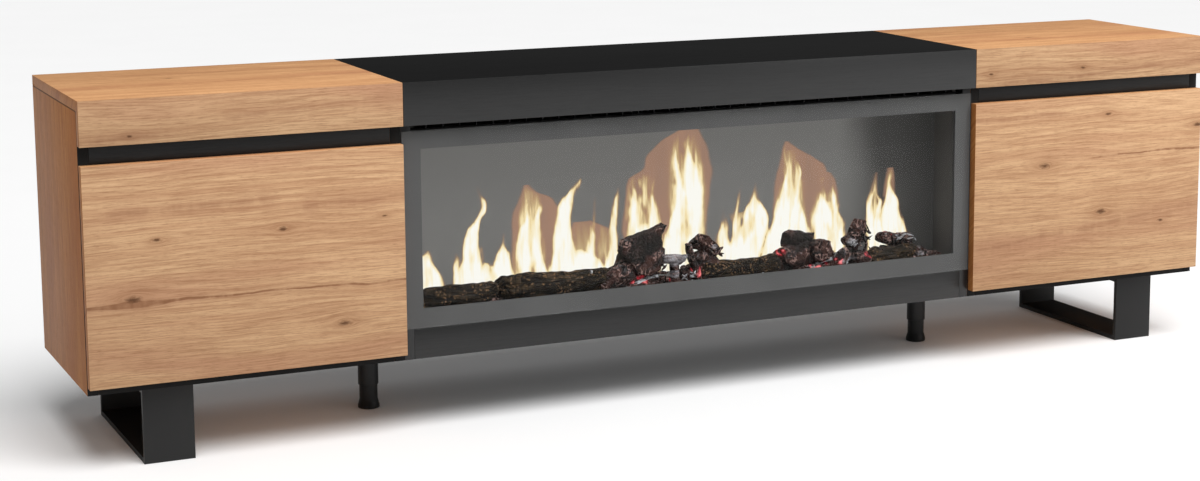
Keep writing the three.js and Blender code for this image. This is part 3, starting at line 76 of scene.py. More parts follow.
class Slot(Enum):
    """The record's material slots that the pieces take their finish from."""

    OAK = "oak"
    BLACK_BOARD = "black_board"
    BACK_BOARD = "back_board"
    BLACK_STEEL = "black_steel"
    BLACK_PLASTIC = "black_plastic"
    GREY_STEEL = "grey_steel"
    ZINC = "zinc_steel"
    BRIGHT_STEEL = "bright_steel"
    GLASS = "glass"
    SCREEN = "screen"
    EMBERS = "embers"
    LOG = "log"
    LIGHT_BOARD = "light_board"


def tint(*screen: int) -> Triple:
    """Turn a colour in screen values from 0 to 255 into linear light."""
    return tuple(((v / 255 + 0.055) / 1.055) ** 2.4 if v > 10 else v / 255 / 12.92 for v in screen)


class Graph:
    """Adds nodes to one node tree and joins them.

    Args:
        tree: The node tree of a material, a world or a group.
    """

    def __init__(self, tree: Tree) -> None:
        """Keep the tree."""
        self.tree = tree

    def add(self, kind: str, feeds: dict | None = None, **settings: object) -> bpy.types.Node:
        """Add one node.

        Args:
            kind: The node's type, without its ShaderNode prefix.
            feeds: What each input gets, a value or a socket, by the input's name or place.
            settings: Properties of the node itself.

        Returns:
            The new node.
        """
        node = self.tree.nodes.new("ShaderNode" + kind)
        for name, value in settings.items():
            setattr(node, name, value)
        for key, value in (feeds or {}).items():
            self.feed(node.inputs[key], value)
        return node

    def feed(self, socket: Socket, value: object) -> None:
        """Link an input to a socket, or set it to a number, a vector or a colour.

        Args:
            socket: The input.
            value: What it gets.
        """
        if isinstance(value, Socket):
            self.tree.links.new(value, socket)
        else:
            socket.default_value = (*value, 1.0) if socket.type == "RGBA" else value

    def math(self, operation: str, *values: object, clamp: bool = False) -> Socket:
        """Add a Math node and return its result."""
        return self.add("Math", dict(enumerate(values)), operation=operation, use_clamp=clamp).outputs[0]

    def plus(self, first: object, second: object) -> Socket:
        """Add two values."""
        return self.math("ADD", first, second)

    def minus(self, first: object, second: object) -> Socket:
        """Take the second value from the first."""
        return self.math("SUBTRACT", first, second)

    def times(self, first: object, second: object) -> Socket:
        """Multiply two values."""
        return self.math("MULTIPLY", first, second)

    def most(self, first: object, second: object) -> Socket:
        """Take the greater of two values."""
        return self.math("MAXIMUM", first, second)

    def span(self, value: object, low: float, high: float, to_low: float = 0.0, to_high: float = 1.0) -> Socket:
        """Map value from low..high to to_low..to_high along a smooth step."""
        feeds = dict(enumerate((value, low, high, to_low, to_high)))
        return self.add("MapRange", feeds, interpolation_type="SMOOTHSTEP").outputs[0]

    def noise(
        self, vector: object, scale: object, detail: float = 2.0, rough: float = 0.5, shift: Triple = NO_SHIFT
    ) -> Socket:
        """Add a Noise Texture.

        Args:
            vector: Where it is read.
            scale: Its scale, or its scale along each axis.
            detail: How many finer layers it has.
            rough: How strong the finer layers are.
            shift: How far it is moved, where it has a scale along each axis.

        Returns:
            Its value.
        """
        if isinstance(scale, tuple):
            vector, scale = self.stretch(vector, scale, shift), 1.0
        feeds = {"Vector": vector, "Scale": scale, "Detail": detail, "Roughness": rough}
        return self.add("TexNoise", feeds).outputs["Fac"]

    def stretch(self, vector: object, scale: Triple, shift: Triple = NO_SHIFT) -> Socket:
        """Scale and shift a vector."""
        return self.add("Mapping", {"Vector": vector, "Location": shift, "Scale": scale}).outputs[0]

    def cells(self, vector: object, scale: float, feature: str = "F1") -> Socket:
        """Add a Voronoi Texture and return its distance."""
        return self.add("TexVoronoi", {"Vector": vector, "Scale": scale}, feature=feature).outputs["Distance"]

    def painted(self, name: str) -> Socket:
        """Read what the mesh carries at each point."""
        return self.add("Attribute", attribute_name=name).outputs["Fac"]

    def axes(self, vector: object) -> bpy.types.bpy_prop_collection:
        """Split a vector."""
        return self.add("SeparateXYZ", {"Vector": vector}).outputs

    def join(self, *values: object) -> Socket:
        """Join up to three values to a vector."""
        return self.add("CombineXYZ", dict(enumerate(values))).outputs[0]

    def mix(self, share: object, first: object, second: object, blend: str = "MIX") -> Socket:
        """Mix two colours by a share."""
        feeds = {0: share, 6: first, 7: second}
        return self.add("Mix", feeds, data_type="RGBA", blend_type=blend).outputs[2]

    def layers(self, colour: object, *coats: tuple) -> Socket:
        """Lay tones over a colour.

        Args:
            colour: The colour below.
            coats: The mask, the greatest share and the tone of each coat.

        Returns:
            The colour with its coats.
        """
        for mask, share, tone in coats:
            colour = self.mix(self.times(mask, share), colour, tone)
        return colour

    def ramp(self, value: object, stops: dict[float, Triple]) -> Socket:
        """Add a Color Ramp.

        Args:
            value: Where on the ramp to read.
            stops: The colour at each place.

        Returns:
            Its colour.
        """
        node = self.add("ValToRGB", {"Fac": value})
        elements = node.color_ramp.elements
        while len(elements) < len(stops):
            elements.new(0.5)
        for element, (place, colour) in zip(elements, stops.items()):
            element.position, element.color = place, (*colour, 1.0)
        return node.outputs["Color"]

    def bump(self, height: object, strength: float, distance: float) -> Socket:
        """Add a Bump node and return its normal."""
        return self.add("Bump", {"Height": height, "Strength": strength, "Distance": distance}).outputs[0]


class Group(Graph):
    """A shader node group."""

    def __init__(self, name: str, inputs: dict[str, float | None]) -> None:
        """Add the group and its inputs.

        Args:
            name: The group's name.
            inputs: The default of each input by its name, or None where it is a vector.
        """
        super().__init__(bpy.data.node_groups.new(name, "ShaderNodeTree"))
        for key, default in inputs.items():
            kind = "NodeSocketVector" if default is None else "NodeSocketFloat"
            socket = self.tree.interface.new_socket(key, in_out="INPUT", socket_type=kind)
            if default is not None:
                socket.default_value = default
        self.given = self.tree.nodes.new("NodeGroupInput").outputs

    def close(self, **values: Socket) -> Tree:
        """Give the group its outputs.

        Args:
            values: What each output puts out.

        Returns:
            The group.
        """
        for key in values:
            self.tree.interface.new_socket(key, in_out="OUTPUT", socket_type="NodeSocketFloat")
        result = self.tree.nodes.new("NodeGroupOutput")
        for key, value in values.items():
            self.feed(result.inputs[key], value)
        return self.tree


def wood_figure() -> Tree:
    """Long fibres, pores, streaks and faint growth rings of a board.

    Returns:
        A group. Its Place has the grain along X, in metres. Bend is how far knots push the fibres aside.
    """
    g = Group("wood_figure", {"Place": None, "Bend": 0.0})
    axes = g.axes(g.given["Place"])
    across = g.plus(g.plus(axes["Y"], axes["Z"]), g.given["Bend"])
    flat = g.join(axes["X"], across)
    slow = g.minus(g.noise(flat, (2.2, 7.0, 1.0)), 0.5)
    quick = g.minus(g.noise(flat, (9.0, 26.0, 1.0)), 0.5)
    across = g.plus(g.plus(across, g.times(slow, 0.022)), g.times(quick, 0.0028))
    grain = g.join(axes["X"], across)
    saw = g.math("FRACT", g.plus(g.times(across, 95.0), g.times(slow, 5.0)))
    edge = g.times(g.math("POWER", saw, 2.0), g.span(saw, 1.0, 0.86))
    patchy = g.span(g.noise(grain, (4.0, 14.0, 1.0), shift=(1.0, 4.0, 0.0)), 0.4, 0.58)
    return g.close(
        Rings=g.times(edge, patchy),
        Fibres=g.span(g.noise(grain, (15.0, 470.0, 1.0), 4.0, 0.75), 0.42, 0.64),
        Pores=g.span(g.noise(grain, (60.0, 1100.0, 1.0), 2.0, 0.6), 0.56, 0.7),
        Streaks=g.noise(grain, (2.4, 62.0, 1.0), 4.0, 0.6, (7.0, 2.0, 0.0)),
        Flush=g.noise(grain, (1.7, 9.0, 1.0), shift=(3.0, 5.0, 0.0)),
    )


def wood_knot() -> Tree:
    """One knot, longer along the grain than across it, and how it pushes the fibres aside.

    Returns:
        A group. Its Core is the dead wood and its Halo is the stained wood round it.
    """
    g = Group("wood_knot", {"Place": None, "Along": 0.0, "Across": 0.0, "Size": 0.006})
    place, size = g.given["Place"], g.given["Size"]
    axes = g.axes(place)
    along = g.times(g.minus(axes["X"], g.given["Along"]), 0.42)
    across = g.minus(g.plus(axes["Y"], axes["Z"]), g.given["Across"])
    ragged = g.minus(g.noise(place, (90.0, 260.0, 260.0), 3.0, 0.7), 0.5)
    square = g.plus(g.times(along, along), g.times(across, across))
    area = g.times(size, size)
    pushed = g.math("DIVIDE", g.times(across, area), g.plus(square, area))
    reach = g.plus(g.math("DIVIDE", g.math("SQRT", square), size), g.times(ragged, 1.6))
    return g.close(Bend=g.times(pushed, -2.2), Core=g.span(reach, 1.05, 0.15), Halo=g.span(reach, 4.2, 0.6))


def wood_check() -> Tree:
    """One long crack along the grain, that wanders and goes round the knots.

    Returns:
        A group. Its Line is the crack and its Halo is the stained wood beside it.
    """
    zeros = dict.fromkeys(("Bend", "Height", "Slope", "Start", "End"), 0.0)
    g = Group("wood_check", {"Place": None, **zeros, "Width": 0.01})
    given, axes = g.given, g.axes(g.given["Place"])
    wander = g.minus(g.noise(g.join(axes["X"]), (7.0, 1.0, 1.0), 4.0, 0.55), 0.5)
    course = g.plus(g.plus(given["Height"], g.times(axes["X"], given["Slope"])), g.times(wander, 0.018))
    away = g.math("ABSOLUTE", g.minus(g.plus(axes["Y"], axes["Z"]), course))
    away = g.minus(away, g.math("ABSOLUTE", given["Bend"]))
    soft = g.plus(axes["X"], g.times(wander, 0.08))
    begun = g.add("MapRange", {0: soft, 1: given["Start"], 2: g.plus(given["Start"], 0.03)}).outputs[0]
    left = g.add("MapRange", {0: soft, 1: given["End"], 2: g.minus(given["End"], 0.03)}).outputs[0]
    broken = g.span(g.noise(given["Place"], (26.0, 9.0, 9.0), 3.0, 0.7), 0.34, 0.58, 0.35, 1.0)
    there = g.times(g.times(begun, left), broken)
    halo = g.math("SUBTRACT", 1.0, g.math("DIVIDE", away, given["Width"]), clamp=True)
    return g.close(
        Line=g.times(g.span(away, 0.0018, 0.0004), there), Halo=g.times(g.math("POWER", halo, 1.6), there)
    )


def edge_wear() -> Tree:
    """Mask of the softened edges, broken up by noise.

    Returns:
        A group. Its Wear is the mask.
    """
    g = Group("edge_wear", {"Vector": None, "Scale": 60.0})
    broken = g.noise(g.given["Vector"], g.given["Scale"], 3.0)
    return g.close(Wear=g.times(g.painted("edge"), g.span(broken, 0.3, 0.7, 0.35, 1.0)))


def fine_mottle() -> Tree:
    """Fine and coarse mottling, for coats, plastic and thin dust.

    Returns:
        A group. Its Fine and its Coarse are two noises.
    """
    g = Group("fine_mottle", {"Vector": None, "Scale": 300.0})
    place = g.given["Vector"]
    return g.close(Fine=g.noise(place, g.given["Scale"], 3.0, 0.6), Coarse=g.noise(place, 7.0, 3.0))


@dataclass(frozen=True)
class SharedEffects:
    """The node groups that more than one finish uses, each built once."""

    wood: Tree = field(default_factory=wood_figure)
    knot: Tree = field(default_factory=wood_knot)
    check: Tree = field(default_factory=wood_check)
    wear: Tree = field(default_factory=edge_wear)
    mottle: Tree = field(default_factory=fine_mottle)


class Paint(Graph):
    """The graph of a material with one Principled shader."""

    def __init__(self, name: str, effects: SharedEffects) -> None:
        """Add the material.

        Args:
            name: The material's name.
            effects: The shared node groups.
        """
        self.effects = effects
        self.material = bpy.data.materials.new(name)
        self.material.use_nodes = True
        super().__init__(self.material.node_tree)
        self.shader = self.tree.nodes["Principled BSDF"]
        self.coordinates = self.add("TexCoord").outputs
        self.place = self.coordinates["Object"]

    def set(self, **values: object) -> None:
        """Set inputs of the shader by name, with _ for a space."""
        for key, value in values.items():
            self.feed(self.shader.inputs[key.replace("_", " ")], value)

    def effect(self, tree: Tree, **feeds: object) -> bpy.types.bpy_prop_collection:
        """Place a shared effect and return its outputs."""
        return self.add("Group", feeds, node_tree=tree).outputs

    def wear(self, scale: float) -> Socket:
        """Mask of the worn edges."""
        return self.effect(self.effects.wear, Vector=self.place, Scale=scale)["Wear"]

    def mottle(self, scale: float) -> bpy.types.bpy_prop_collection:
        """Place the fine and the coarse mottling."""
        return self.effect(self.effects.mottle, Vector=self.place, Scale=scale)

    def upward(self) -> Socket:
        """How far each place faces up."""
        return self.axes(self.add("NewGeometry").outputs["Normal"])["Z"]


@dataclass(frozen=True)
class Finish:
    """A look that can be built as a material."""

    def lay(self, g: Paint) -> None:
        """Build the look.

        Args:
            g: The material's graph.
        """
        raise NotImplementedError

    def build(self, name: str, effects: SharedEffects) -> Material:
        """Build the material.

        Args:
            name: The material's name.
            effects: The shared node groups.

        Returns:
            The material.
        """
        paint = Paint(name, effects)
        self.lay(paint)
        return paint.material


@dataclass(frozen=True)
class Figure:
    """The knots and the long checks of one board, in millimetres.

    Args:
        knots: X, sum of Y and Z, and size of each knot.
        checks: Sum of Y and Z, slope, start, end and width of the stain of each long check.
    """

    knots: tuple[Triple, ...] = ()
    checks: tuple[tuple[float, float, float, float, float], ...] = ()


FIGURES = {
    "left_door": Figure(
        ((-895, 167, 3.8), (-707, 168, 4.2), (-933, 82, 6.2), (-615, 15, 5.4), (-548, 175, 2.0)),
        ((75, -0.002, -1100, -400, 9), (212, 0.02, -1000, -700, 26), (205, 0.05, -700, -400, 24)),
    ),
    "right_door": Figure(
        ((661, 164, 5.8), (784, 73, 5.0), (916, 47, 3.0), (795, 248, 3.6), (993, 217, 5.0)),
        ((174, 0.0, 740, 1100, 8), (47, 0.1, 500, 1100, 34), (252, 0.01, 500, 720, 12)),
    ),
    "left_top_apron": Figure(((-929, 322, 2.4),), ((318, 0.01, -1100, -860, 16), (352, 0.06, -800, -400, 14))),
    "right_top_apron": Figure(((545, 332, 2.4), (737, 334, 2.8)), ((326, 0.05, 560, 1100, 12),)),
    "left_top_panel": Figure(((-820, 590, 4.0),), ((520, 0.04, -1100, -400, 30), (640, -0.03, -900, -400, 24))),
    "right_top_panel": Figure(((705, 500, 4.0),), ((480, 0.03, 400, 1100, 30), (610, -0.05, 400, 900, 26))),
}


@dataclass(frozen=True)
class Board(Finish):
    """A wood decor.

    Args:
        grain: The way that the grain runs.
        offset: Where in the wood the board was cut, in metres.
        relief: The depth of the pressed pores.
    """

    grain: Grain = Grain.ALONG
    offset: Triple = NO_SHIFT
    relief: float = 0.15 * MM

    def turned(self, g: Paint) -> Socket:
        """Object coordinates with the grain along X, shifted so that no two boards match."""
        axes = g.axes(g.place)
        return g.stretch(g.join(*(axes[axis] for axis in self.grain.value)), EVEN, self.offset)


@dataclass(frozen=True)
class OakDecor(Board):
    """Light oak decor with a satin face, slightly paler edges, painted light on faces that look up and painted shade
    on faces that look to a side.

    Args:
        band: True where the board's front edge is banded in black.
        figure: The board's knots and checks.
        painted_top_light: Painted light: what the colour is multiplied by on a face that looks up, to make it brighter
            and warmer.
        painted_side_shade: Painted shade: what it is multiplied by on a face that looks to a side, to make it darker
            and warmer.
        seam_z: Height of the joint under a top board.
        band_y: Where the band of a front edge begins.
        long_check: A check at least this long, in millimetres, slopes about its board's middle.
        door_x: How far that middle is from the part's, in millimetres.
        fine_check: A check with a stain narrower than this, in millimetres, is a deep one.
    """

    band: bool = False
    figure: Figure = Figure()
    light: Triple = tint(220, 180, 139)
    middle: Triple = tint(199, 156, 119)
    pink: Triple = tint(193, 145, 114)
    dark: Triple = tint(152, 107, 76)
    knot: Triple = tint(84, 54, 36)
    pore: Triple = tint(134, 92, 64)
    stain: Triple = tint(164, 118, 90)
    black: Triple = tint(36, 36, 36)
    painted_top_light: Triple = (1.12, 0.99, 0.84)
    painted_side_shade: Triple = (0.82, 0.55, 0.3)
    roughness: float = 0.47
    specular: float = 0.06
    seam_z: float = 534.2 * MM
    band_y: float = -157.2 * MM
    long_check: float = 600.0
    door_x: float = 750.0
    fine_check: float = 10.0

    def add_knots(self, g: Paint, place: Socket) -> tuple:
        """Add the knots.

        Args:
            g: The material's graph.
            place: The coordinates along the grain.

        Returns:
            How far they bend the fibres, their dead wood and their stains.
        """
        bend = core = halo = 0.0
        for along, across, size in self.figure.knots:
            x, rise = along * MM + self.offset[0], across * MM + sum(self.offset[1:])
            knot = g.effect(g.effects.knot, Place=place, Along=x, Across=rise, Size=size * MM)
            bend = g.plus(bend, knot["Bend"])
            core, halo = g.most(core, knot["Core"]), g.most(halo, knot["Halo"])
        return bend, core, halo

    def add_checks(self, g: Paint, place: Socket, bend: object) -> tuple:
        """Add the long checks.

        Args:
            g: The material's graph.
            place: The coordinates along the grain.
            bend: How far the knots bend the fibres.

        Returns:
            Their cracks and their stains.
        """
        line = stain = 0.0
        shift = self.offset[0]
        for height, slope, start, end, width in self.figure.checks:
            pivot = 0.5 * (start + end) if end - start < self.long_check else math.copysign(self.door_x, start)
            rise = height * MM + sum(self.offset[1:]) - (shift + pivot * MM) * slope
            check = g.effect(
                g.effects.check, Place=place, Bend=bend, Height=rise, Slope=slope, Start=start * MM + shift,
                End=end * MM + shift, Width=width * MM,
            )
            line = g.most(line, g.times(check["Line"], 1.0 if width < self.fine_check else 0.25))
            stain = g.most(stain, check["Halo"])
        return line, stain

    def lay(self, g: Paint) -> None:
        """Lay the wood, its knots and checks, the wear, the painted light and shade by facing, and the band.

        Args:
            g: The material's graph.
        """
        place = self.turned(g)
        bend, core, halo = self.add_knots(g, place)
        line, stain = self.add_checks(g, place, bend)
        wood = g.effect(g.effects.wood, Place=place, Bend=bend)
        fibres, pores = wood["Fibres"], wood["Pores"]
        colour = g.mix(g.span(wood["Streaks"], 0.36, 0.64, 0.12, 0.86), self.light, self.middle)
        colour = g.mix(g.span(wood["Flush"], 0.5, 0.72, 0.0, 0.75), colour, self.pink)
        colour = g.layers(
            colour, (wood["Rings"], 0.46, self.dark), (fibres, 0.52, self.dark), (pores, 0.46, self.pore),
            (halo, 0.32, self.dark), (stain, 0.42, self.stain), (line, 0.8, self.pore), (core, 0.84, self.knot),
            (g.wear(45.0), 0.3, self.light),
        )
        # Painted light on faces that look up and painted shade on faces that look to a side, chosen by the normal.
        facing = g.axes(g.coordinates["Normal"])
        for axis, painted_tint in (("Z", self.painted_top_light), ("X", self.painted_side_shade)):
            share = g.span(g.math("ABSOLUTE", facing[axis]), 0.4, 0.9)
            colour = g.mix(share, colour, g.mix(1.0, colour, painted_tint, "MULTIPLY"))
        if self.band:
            axes = g.axes(g.place)
            colour = g.layers(colour, (g.math("GREATER_THAN", axes["Z"], self.seam_z), 0.8, self.knot))
            colour = g.mix(g.math("LESS_THAN", axes["Y"], self.band_y), colour, self.black)
        deep = g.plus(pores, g.times(fibres, 0.5))
        g.set(
            Base_Color=colour, Roughness=g.plus(self.roughness, g.times(pores, 0.12)),
            Specular_IOR_Level=self.specular, Normal=g.bump(g.times(deep, -1.0), 0.25, self.relief),
        )


@dataclass(frozen=True)
class BlackWoodDecor(Board):
    """Black decor with a fine pressed grain."""

    light: Triple = tint(25, 25, 25)
    dark: Triple = tint(14, 14, 14)
    worn: Triple = tint(78, 78, 78)
    roughness: float = 0.36
    specular: float = 0.52

    def lay(self, g: Paint) -> None:
        """Lay the grain and the wear.

        Args:
            g: The material's graph.
        """
        wood = g.effect(g.effects.wood, Place=self.turned(g))
        lines = g.plus(g.times(wood["Fibres"], 0.6), g.times(wood["Pores"], 0.4))
        colour = g.mix(lines, self.light, self.dark)
        g.set(
            Base_Color=g.layers(colour, (wood["Rings"], 0.3, self.dark), (g.wear(60.0), 0.25, self.worn)),
            Roughness=g.plus(self.roughness, g.times(lines, 0.14)),
            Specular_IOR_Level=self.specular, Normal=g.bump(g.times(lines, -1.0), 0.3, self.relief),
        )


@dataclass(frozen=True)
class Coat(Finish):
    """A coated, moulded or plated surface with a fine mottle and edge wear.

    Args:
        colour: Its colour.
        worn: The colour of its edges.
        roughness: Its roughness where the mottle is even.
        metallic: 1 for metal.
        mottle_scale: The fineness of the mottle.
        relief: The strength of the mottle's bumps.
        specular: The specular level.
    """

    colour: Triple
    worn: Triple
    roughness: float
    metallic: float = 0.0
    mottle_scale: float = 700.0
    relief: float = 0.12
    specular: float = 0.35

    def lay(self, g: Paint) -> None:
        """Lay the mottle and the wear.

        Args:
            g: The material's graph.
        """
        mottle = g.mottle(self.mottle_scale)
        paler = tuple(min(1.0, v * 1.16 + 0.002) for v in self.colour)
        colour = g.mix(g.span(mottle["Coarse"], 0.3, 0.7), self.colour, paler)
        g.set(
            Base_Color=g.layers(colour, (g.wear(80.0), 0.4, self.worn)),
            Roughness=g.plus(self.roughness - 0.05, g.times(mottle["Fine"], 0.12)), Metallic=self.metallic,
            Specular_IOR_Level=self.specular, Normal=g.bump(mottle["Fine"], self.relief, 0.15 * MM),
        )


# By slot: the material's name, then its colour, worn edge, roughness, metal, mottle scale, relief and specular level.
COATS = {
    Slot.BLACK_STEEL: ("powder_coat", Coat(tint(24, 24, 24), tint(52, 52, 52), 0.5, 0.0, 900.0, 0.2)),
    Slot.BLACK_PLASTIC: ("plastic", Coat(tint(25, 25, 25), tint(52, 52, 52), 0.45, 0.0, 500.0, 0.1)),
    Slot.GREY_STEEL: ("grey_paint", Coat(tint(87, 87, 88), tint(111, 111, 112), 0.5, 0.0, 600.0, 0.03, 0.15)),
    Slot.ZINC: ("zinc", Coat(tint(178, 181, 184), tint(214, 216, 218), 0.32, 0.9, 240.0, 0.15)),
    Slot.BRIGHT_STEEL: ("bright", Coat(tint(206, 208, 210), tint(230, 230, 230), 0.14, 1.0, 200.0, 0.05)),
    Slot.BACK_BOARD: ("hardboard", Coat(tint(40, 40, 40), tint(74, 70, 66), 0.7, 0.0, 350.0, 0.3)),
    Slot.LIGHT_BOARD: ("lamp_board", Coat(tint(216, 216, 208), tint(232, 232, 228), 0.5, 0.0, 200.0, 0.1)),
}
CASING = Coat(tint(104, 102, 99), tint(116, 114, 111), 0.7, specular=0.15)


@dataclass(frozen=True)
class ClearGlass(Finish):
    """Clear toughened glass that lets the lamps through, with a faint film that changes its gloss."""

    colour: Triple = tint(250, 250, 249)
    ior: float = 1.12

    def lay(self, g: Paint) -> None:
        """Lay the glass, and let shadow and diffuse rays pass.

        Args:
            g: The material's graph.
        """
        film = g.span(g.mottle(18.0)["Coarse"], 0.35, 0.75, 0.0, 0.02)
        g.set(Base_Color=self.colour, Roughness=film, IOR=self.ior, Transmission_Weight=1.0)
        path = g.add("LightPath").outputs
        passing = g.most(path["Is Shadow Ray"], path["Is Diffuse Ray"])
        clear = g.add("BsdfTransparent", {"Color": self.colour}).outputs[0]
        both = g.add("MixShader", {0: passing, 1: g.shader.outputs[0], 2: clear}).outputs[0]
        g.feed(g.tree.nodes["Material Output"].inputs["Surface"], both)


@dataclass(frozen=True)
class LitScreen(Finish):
    """Frosted screen with a faint painted glow in place of the light inside the chamber, and painted shade towards its
    right end and its foot.

    Args:
        side: X from which the light falls off to the right, and X where it is faintest.
        foot: The heights between which it falls off to the foot.
    """

    colour: Triple = tint(46, 46, 45)
    painted_shade: Triple = tint(34, 33, 31)
    glow: Triple = tint(104, 103, 101)
    side: Pair = (0.292, 0.390)
    foot: Pair = (0.165, 0.225)
    strength: float = 0.83

    def lay(self, g: Paint) -> None:
        """Lay the screen, its painted glow and its painted shade.

        Args:
            g: The material's graph.
        """
        axes, mottle = g.axes(g.place), g.mottle(900.0)
        # Painted shade: less glow and a darker colour towards the right end and the foot.
        along = g.plus(axes["X"], g.times(g.minus(mottle["Coarse"], 0.5), 0.06))
        share = g.times(g.span(along, *self.side, 1.0, 0.16), g.span(axes["Z"], *self.foot, 0.6, 1.0))
        g.set(
            Base_Color=g.mix(share, self.painted_shade, self.colour), Roughness=g.plus(0.55, g.times(mottle["Fine"], 0.1)),
            Emission_Color=g.mix(share, BLACK, self.glow), Emission_Strength=self.strength,
        )


@dataclass(frozen=True)
class CharredBark(Finish):
    """Charred bark with long cracks, paler ridges and a little ash."""

    deep: Triple = tint(12, 10, 8)
    bark: Triple = tint(38, 31, 24)
    ridge: Triple = tint(88, 72, 52)
    ash: Triple = tint(122, 108, 92)
    speck: Triple = tint(126, 98, 70)

    def lay(self, g: Paint) -> None:
        """Lay the plates, the ridges, the scabs and the ash.

        Args:
            g: The material's graph.
        """
        place = g.place
        plates = g.span(g.cells(g.stretch(place, (26.0, 150.0, 150.0)), 1.0, "DISTANCE_TO_EDGE"), 0.02, 0.3)
        grain = g.noise(place, (60.0, 420.0, 420.0), 4.0, 0.65)
        blotch = g.span(g.noise(place, (30.0, 70.0, 70.0), 4.0, 0.7), 0.5, 0.62)
        specks = g.times(g.span(g.cells(place, 210.0), 0.4, 0.2), g.span(g.noise(place, 45.0), 0.44, 0.56))
        dusty = g.times(g.span(g.upward(), 0.2, 0.9), g.span(g.noise(place, 160.0, 3.0), 0.62, 0.74))
        colour = g.layers(
            g.mix(plates, self.deep, self.bark), (g.span(grain, 0.52, 0.76), plates, self.ridge),
            (blotch, 0.4, self.ridge), (g.span(g.cells(place, 150.0), 0.5, 0.75), 0.6, self.deep),
            (specks, 1.0, self.speck), (dusty, 0.52, self.ash),
        )
        height = g.plus(plates, g.times(grain, 0.5))
        g.set(Base_Color=colour, Roughness=0.9, Specular_IOR_Level=0.15, Normal=g.bump(height, 0.9, 1.4 * MM))


@dataclass(frozen=True)
class GlowingCoal(Finish):
    """Black and brown cinders with grey ash on top, that glow red where they are hot."""

    coal: Triple = tint(15, 12, 12)
    brown: Triple = tint(64, 42, 37)
    line: Triple = tint(190, 156, 148)
    ash: Triple = tint(158, 156, 162)
    soot: Triple = tint(20, 20, 19)
    red: Triple = tint(190, 30, 48)
    hot: Triple = tint(244, 120, 122)

    def lay(self, g: Paint) -> None:
        """Lay the char, the curls, the ash, the soot and the glow.

        Args:
            g: The material's graph.
        """
        place = g.place
        lumps = g.noise(place, 90.0, 4.0, 0.6)
        colour = g.mix(g.span(g.plus(lumps, g.noise(place, 26.0)), 0.85, 1.15), self.coal, self.brown)
        swirl = g.math("FRACT", g.times(g.noise(place, 80.0), 5.0))
        curls = g.span(g.math("ABSOLUTE", g.minus(swirl, 0.5)), 0.16, 0.03)
        curls = g.times(curls, g.span(g.noise(place, 60.0), 0.42, 0.56))
        dusty = g.times(g.span(g.upward(), -0.2, 0.7), g.span(g.noise(place, 150.0, 4.0, 0.7), 0.55, 0.66))
        bands = g.span(g.noise(place, (60.0, 60.0, 330.0), 3.0, 0.6), 0.4, 0.62, 0.35, 1.0)
        pale, soot = (g.span(g.painted(name), 0.05, 0.4) for name in ("pale", "soot"))
        colour = g.layers(
            colour, (curls, 0.66, self.line), (dusty, 0.4, self.ash), (g.times(pale, bands), 0.85, self.ash),
            (soot, 0.85, self.soot),
        )
        lit = g.plus(g.cells(place, 95.0, "SMOOTH_F1"), g.times(lumps, 0.3))
        heat = g.times(g.span(g.painted("glow"), 0.02, 0.45), g.span(lit, 0.62, 0.38))
        height = g.plus(g.span(g.cells(place, 120.0, "DISTANCE_TO_EDGE"), 0.0, 0.3), lumps)
        g.set(
            Base_Color=colour, Roughness=0.9, Specular_IOR_Level=0.2, Normal=g.bump(height, 0.9, 1.2 * MM),
            Emission_Color=g.mix(heat, BLACK, g.mix(g.span(heat, 0.55, 1.0), self.red, self.hot)),
            Emission_Strength=0.9,
        )


@dataclass(frozen=True)
class AshCoat(Finish):
    """Pale ash over char."""

    ash: Triple = tint(206, 208, 214)
    grey: Triple = tint(120, 118, 122)
    char: Triple = tint(44, 40, 40)

    def lay(self, g: Paint) -> None:
        """Lay the ash in patches.

        Args:
            g: The material's graph.
        """
        patches = g.noise(g.place, 130.0, 4.0, 0.65)
        fine = g.span(g.noise(g.place, (300.0, 300.0, 900.0)), 0.45, 0.7)
        colour = g.layers(g.mix(g.span(patches, 0.38, 0.6), self.char, self.ash), (fine, 0.6, self.grey))
        g.set(Base_Color=colour, Roughness=0.95, Specular_IOR_Level=0.2, Normal=g.bump(patches, 0.7, 0.8 * MM))


@dataclass(frozen=True)
class FlameLight(Finish):
    """Light of the flames: a cream core, yellow edges and a brown haze."""

    haze: Triple = tint(172, 134, 112)
    rim: Triple = tint(196, 150, 102)
    edge: Triple = tint(224, 188, 128)
    warm: Triple = tint(247, 228, 178)
    cream: Triple = tint(254, 246, 220)
    core: Triple = tint(255, 254, 247)

    def lay(self, g: Paint) -> None:
        """Lay the light after the sheet's own heat and haze.

        Args:
            g: The material's graph.
        """
        heat, haze = g.painted("fire_heat"), g.painted("fire_haze")
        streaks = g.noise(g.place, (130.0, 1.0, 16.0), 3.0, 0.55)
        wisps = g.noise(g.place, (46.0, 1.0, 9.0), shift=(0.0, 0.0, 3.0))
        patches = g.noise(g.place, (36.0, 1.0, 17.0), shift=(5.0, 0.0, 1.0))
        swing = g.plus(g.minus(streaks, 0.5), g.minus(wisps, 0.5))
        soft = g.plus(heat, g.times(swing, g.span(heat, 0.02, 0.5, 0.0, 1.1)))
        soft = g.minus(soft, g.span(patches, 0.5, 0.74, 0.0, 0.5))
        stops = {0.0: self.rim, 0.24: self.edge, 0.5: self.warm, 0.78: self.cream, 1.0: self.core}
        cover = g.span(soft, -0.02, 0.52)
        fog = g.times(g.span(haze, 0.0, 0.8, 0.0, 0.85), g.span(wisps, 0.2, 0.75, 1.0, 0.8))
        g.set(
            Base_Color=BLACK, Roughness=1.0, Specular_IOR_Level=0.0, Alpha=g.most(cover, fog),
            Emission_Color=g.mix(cover, self.haze, g.ramp(soft, stops)), Emission_Strength=1.0,
        )


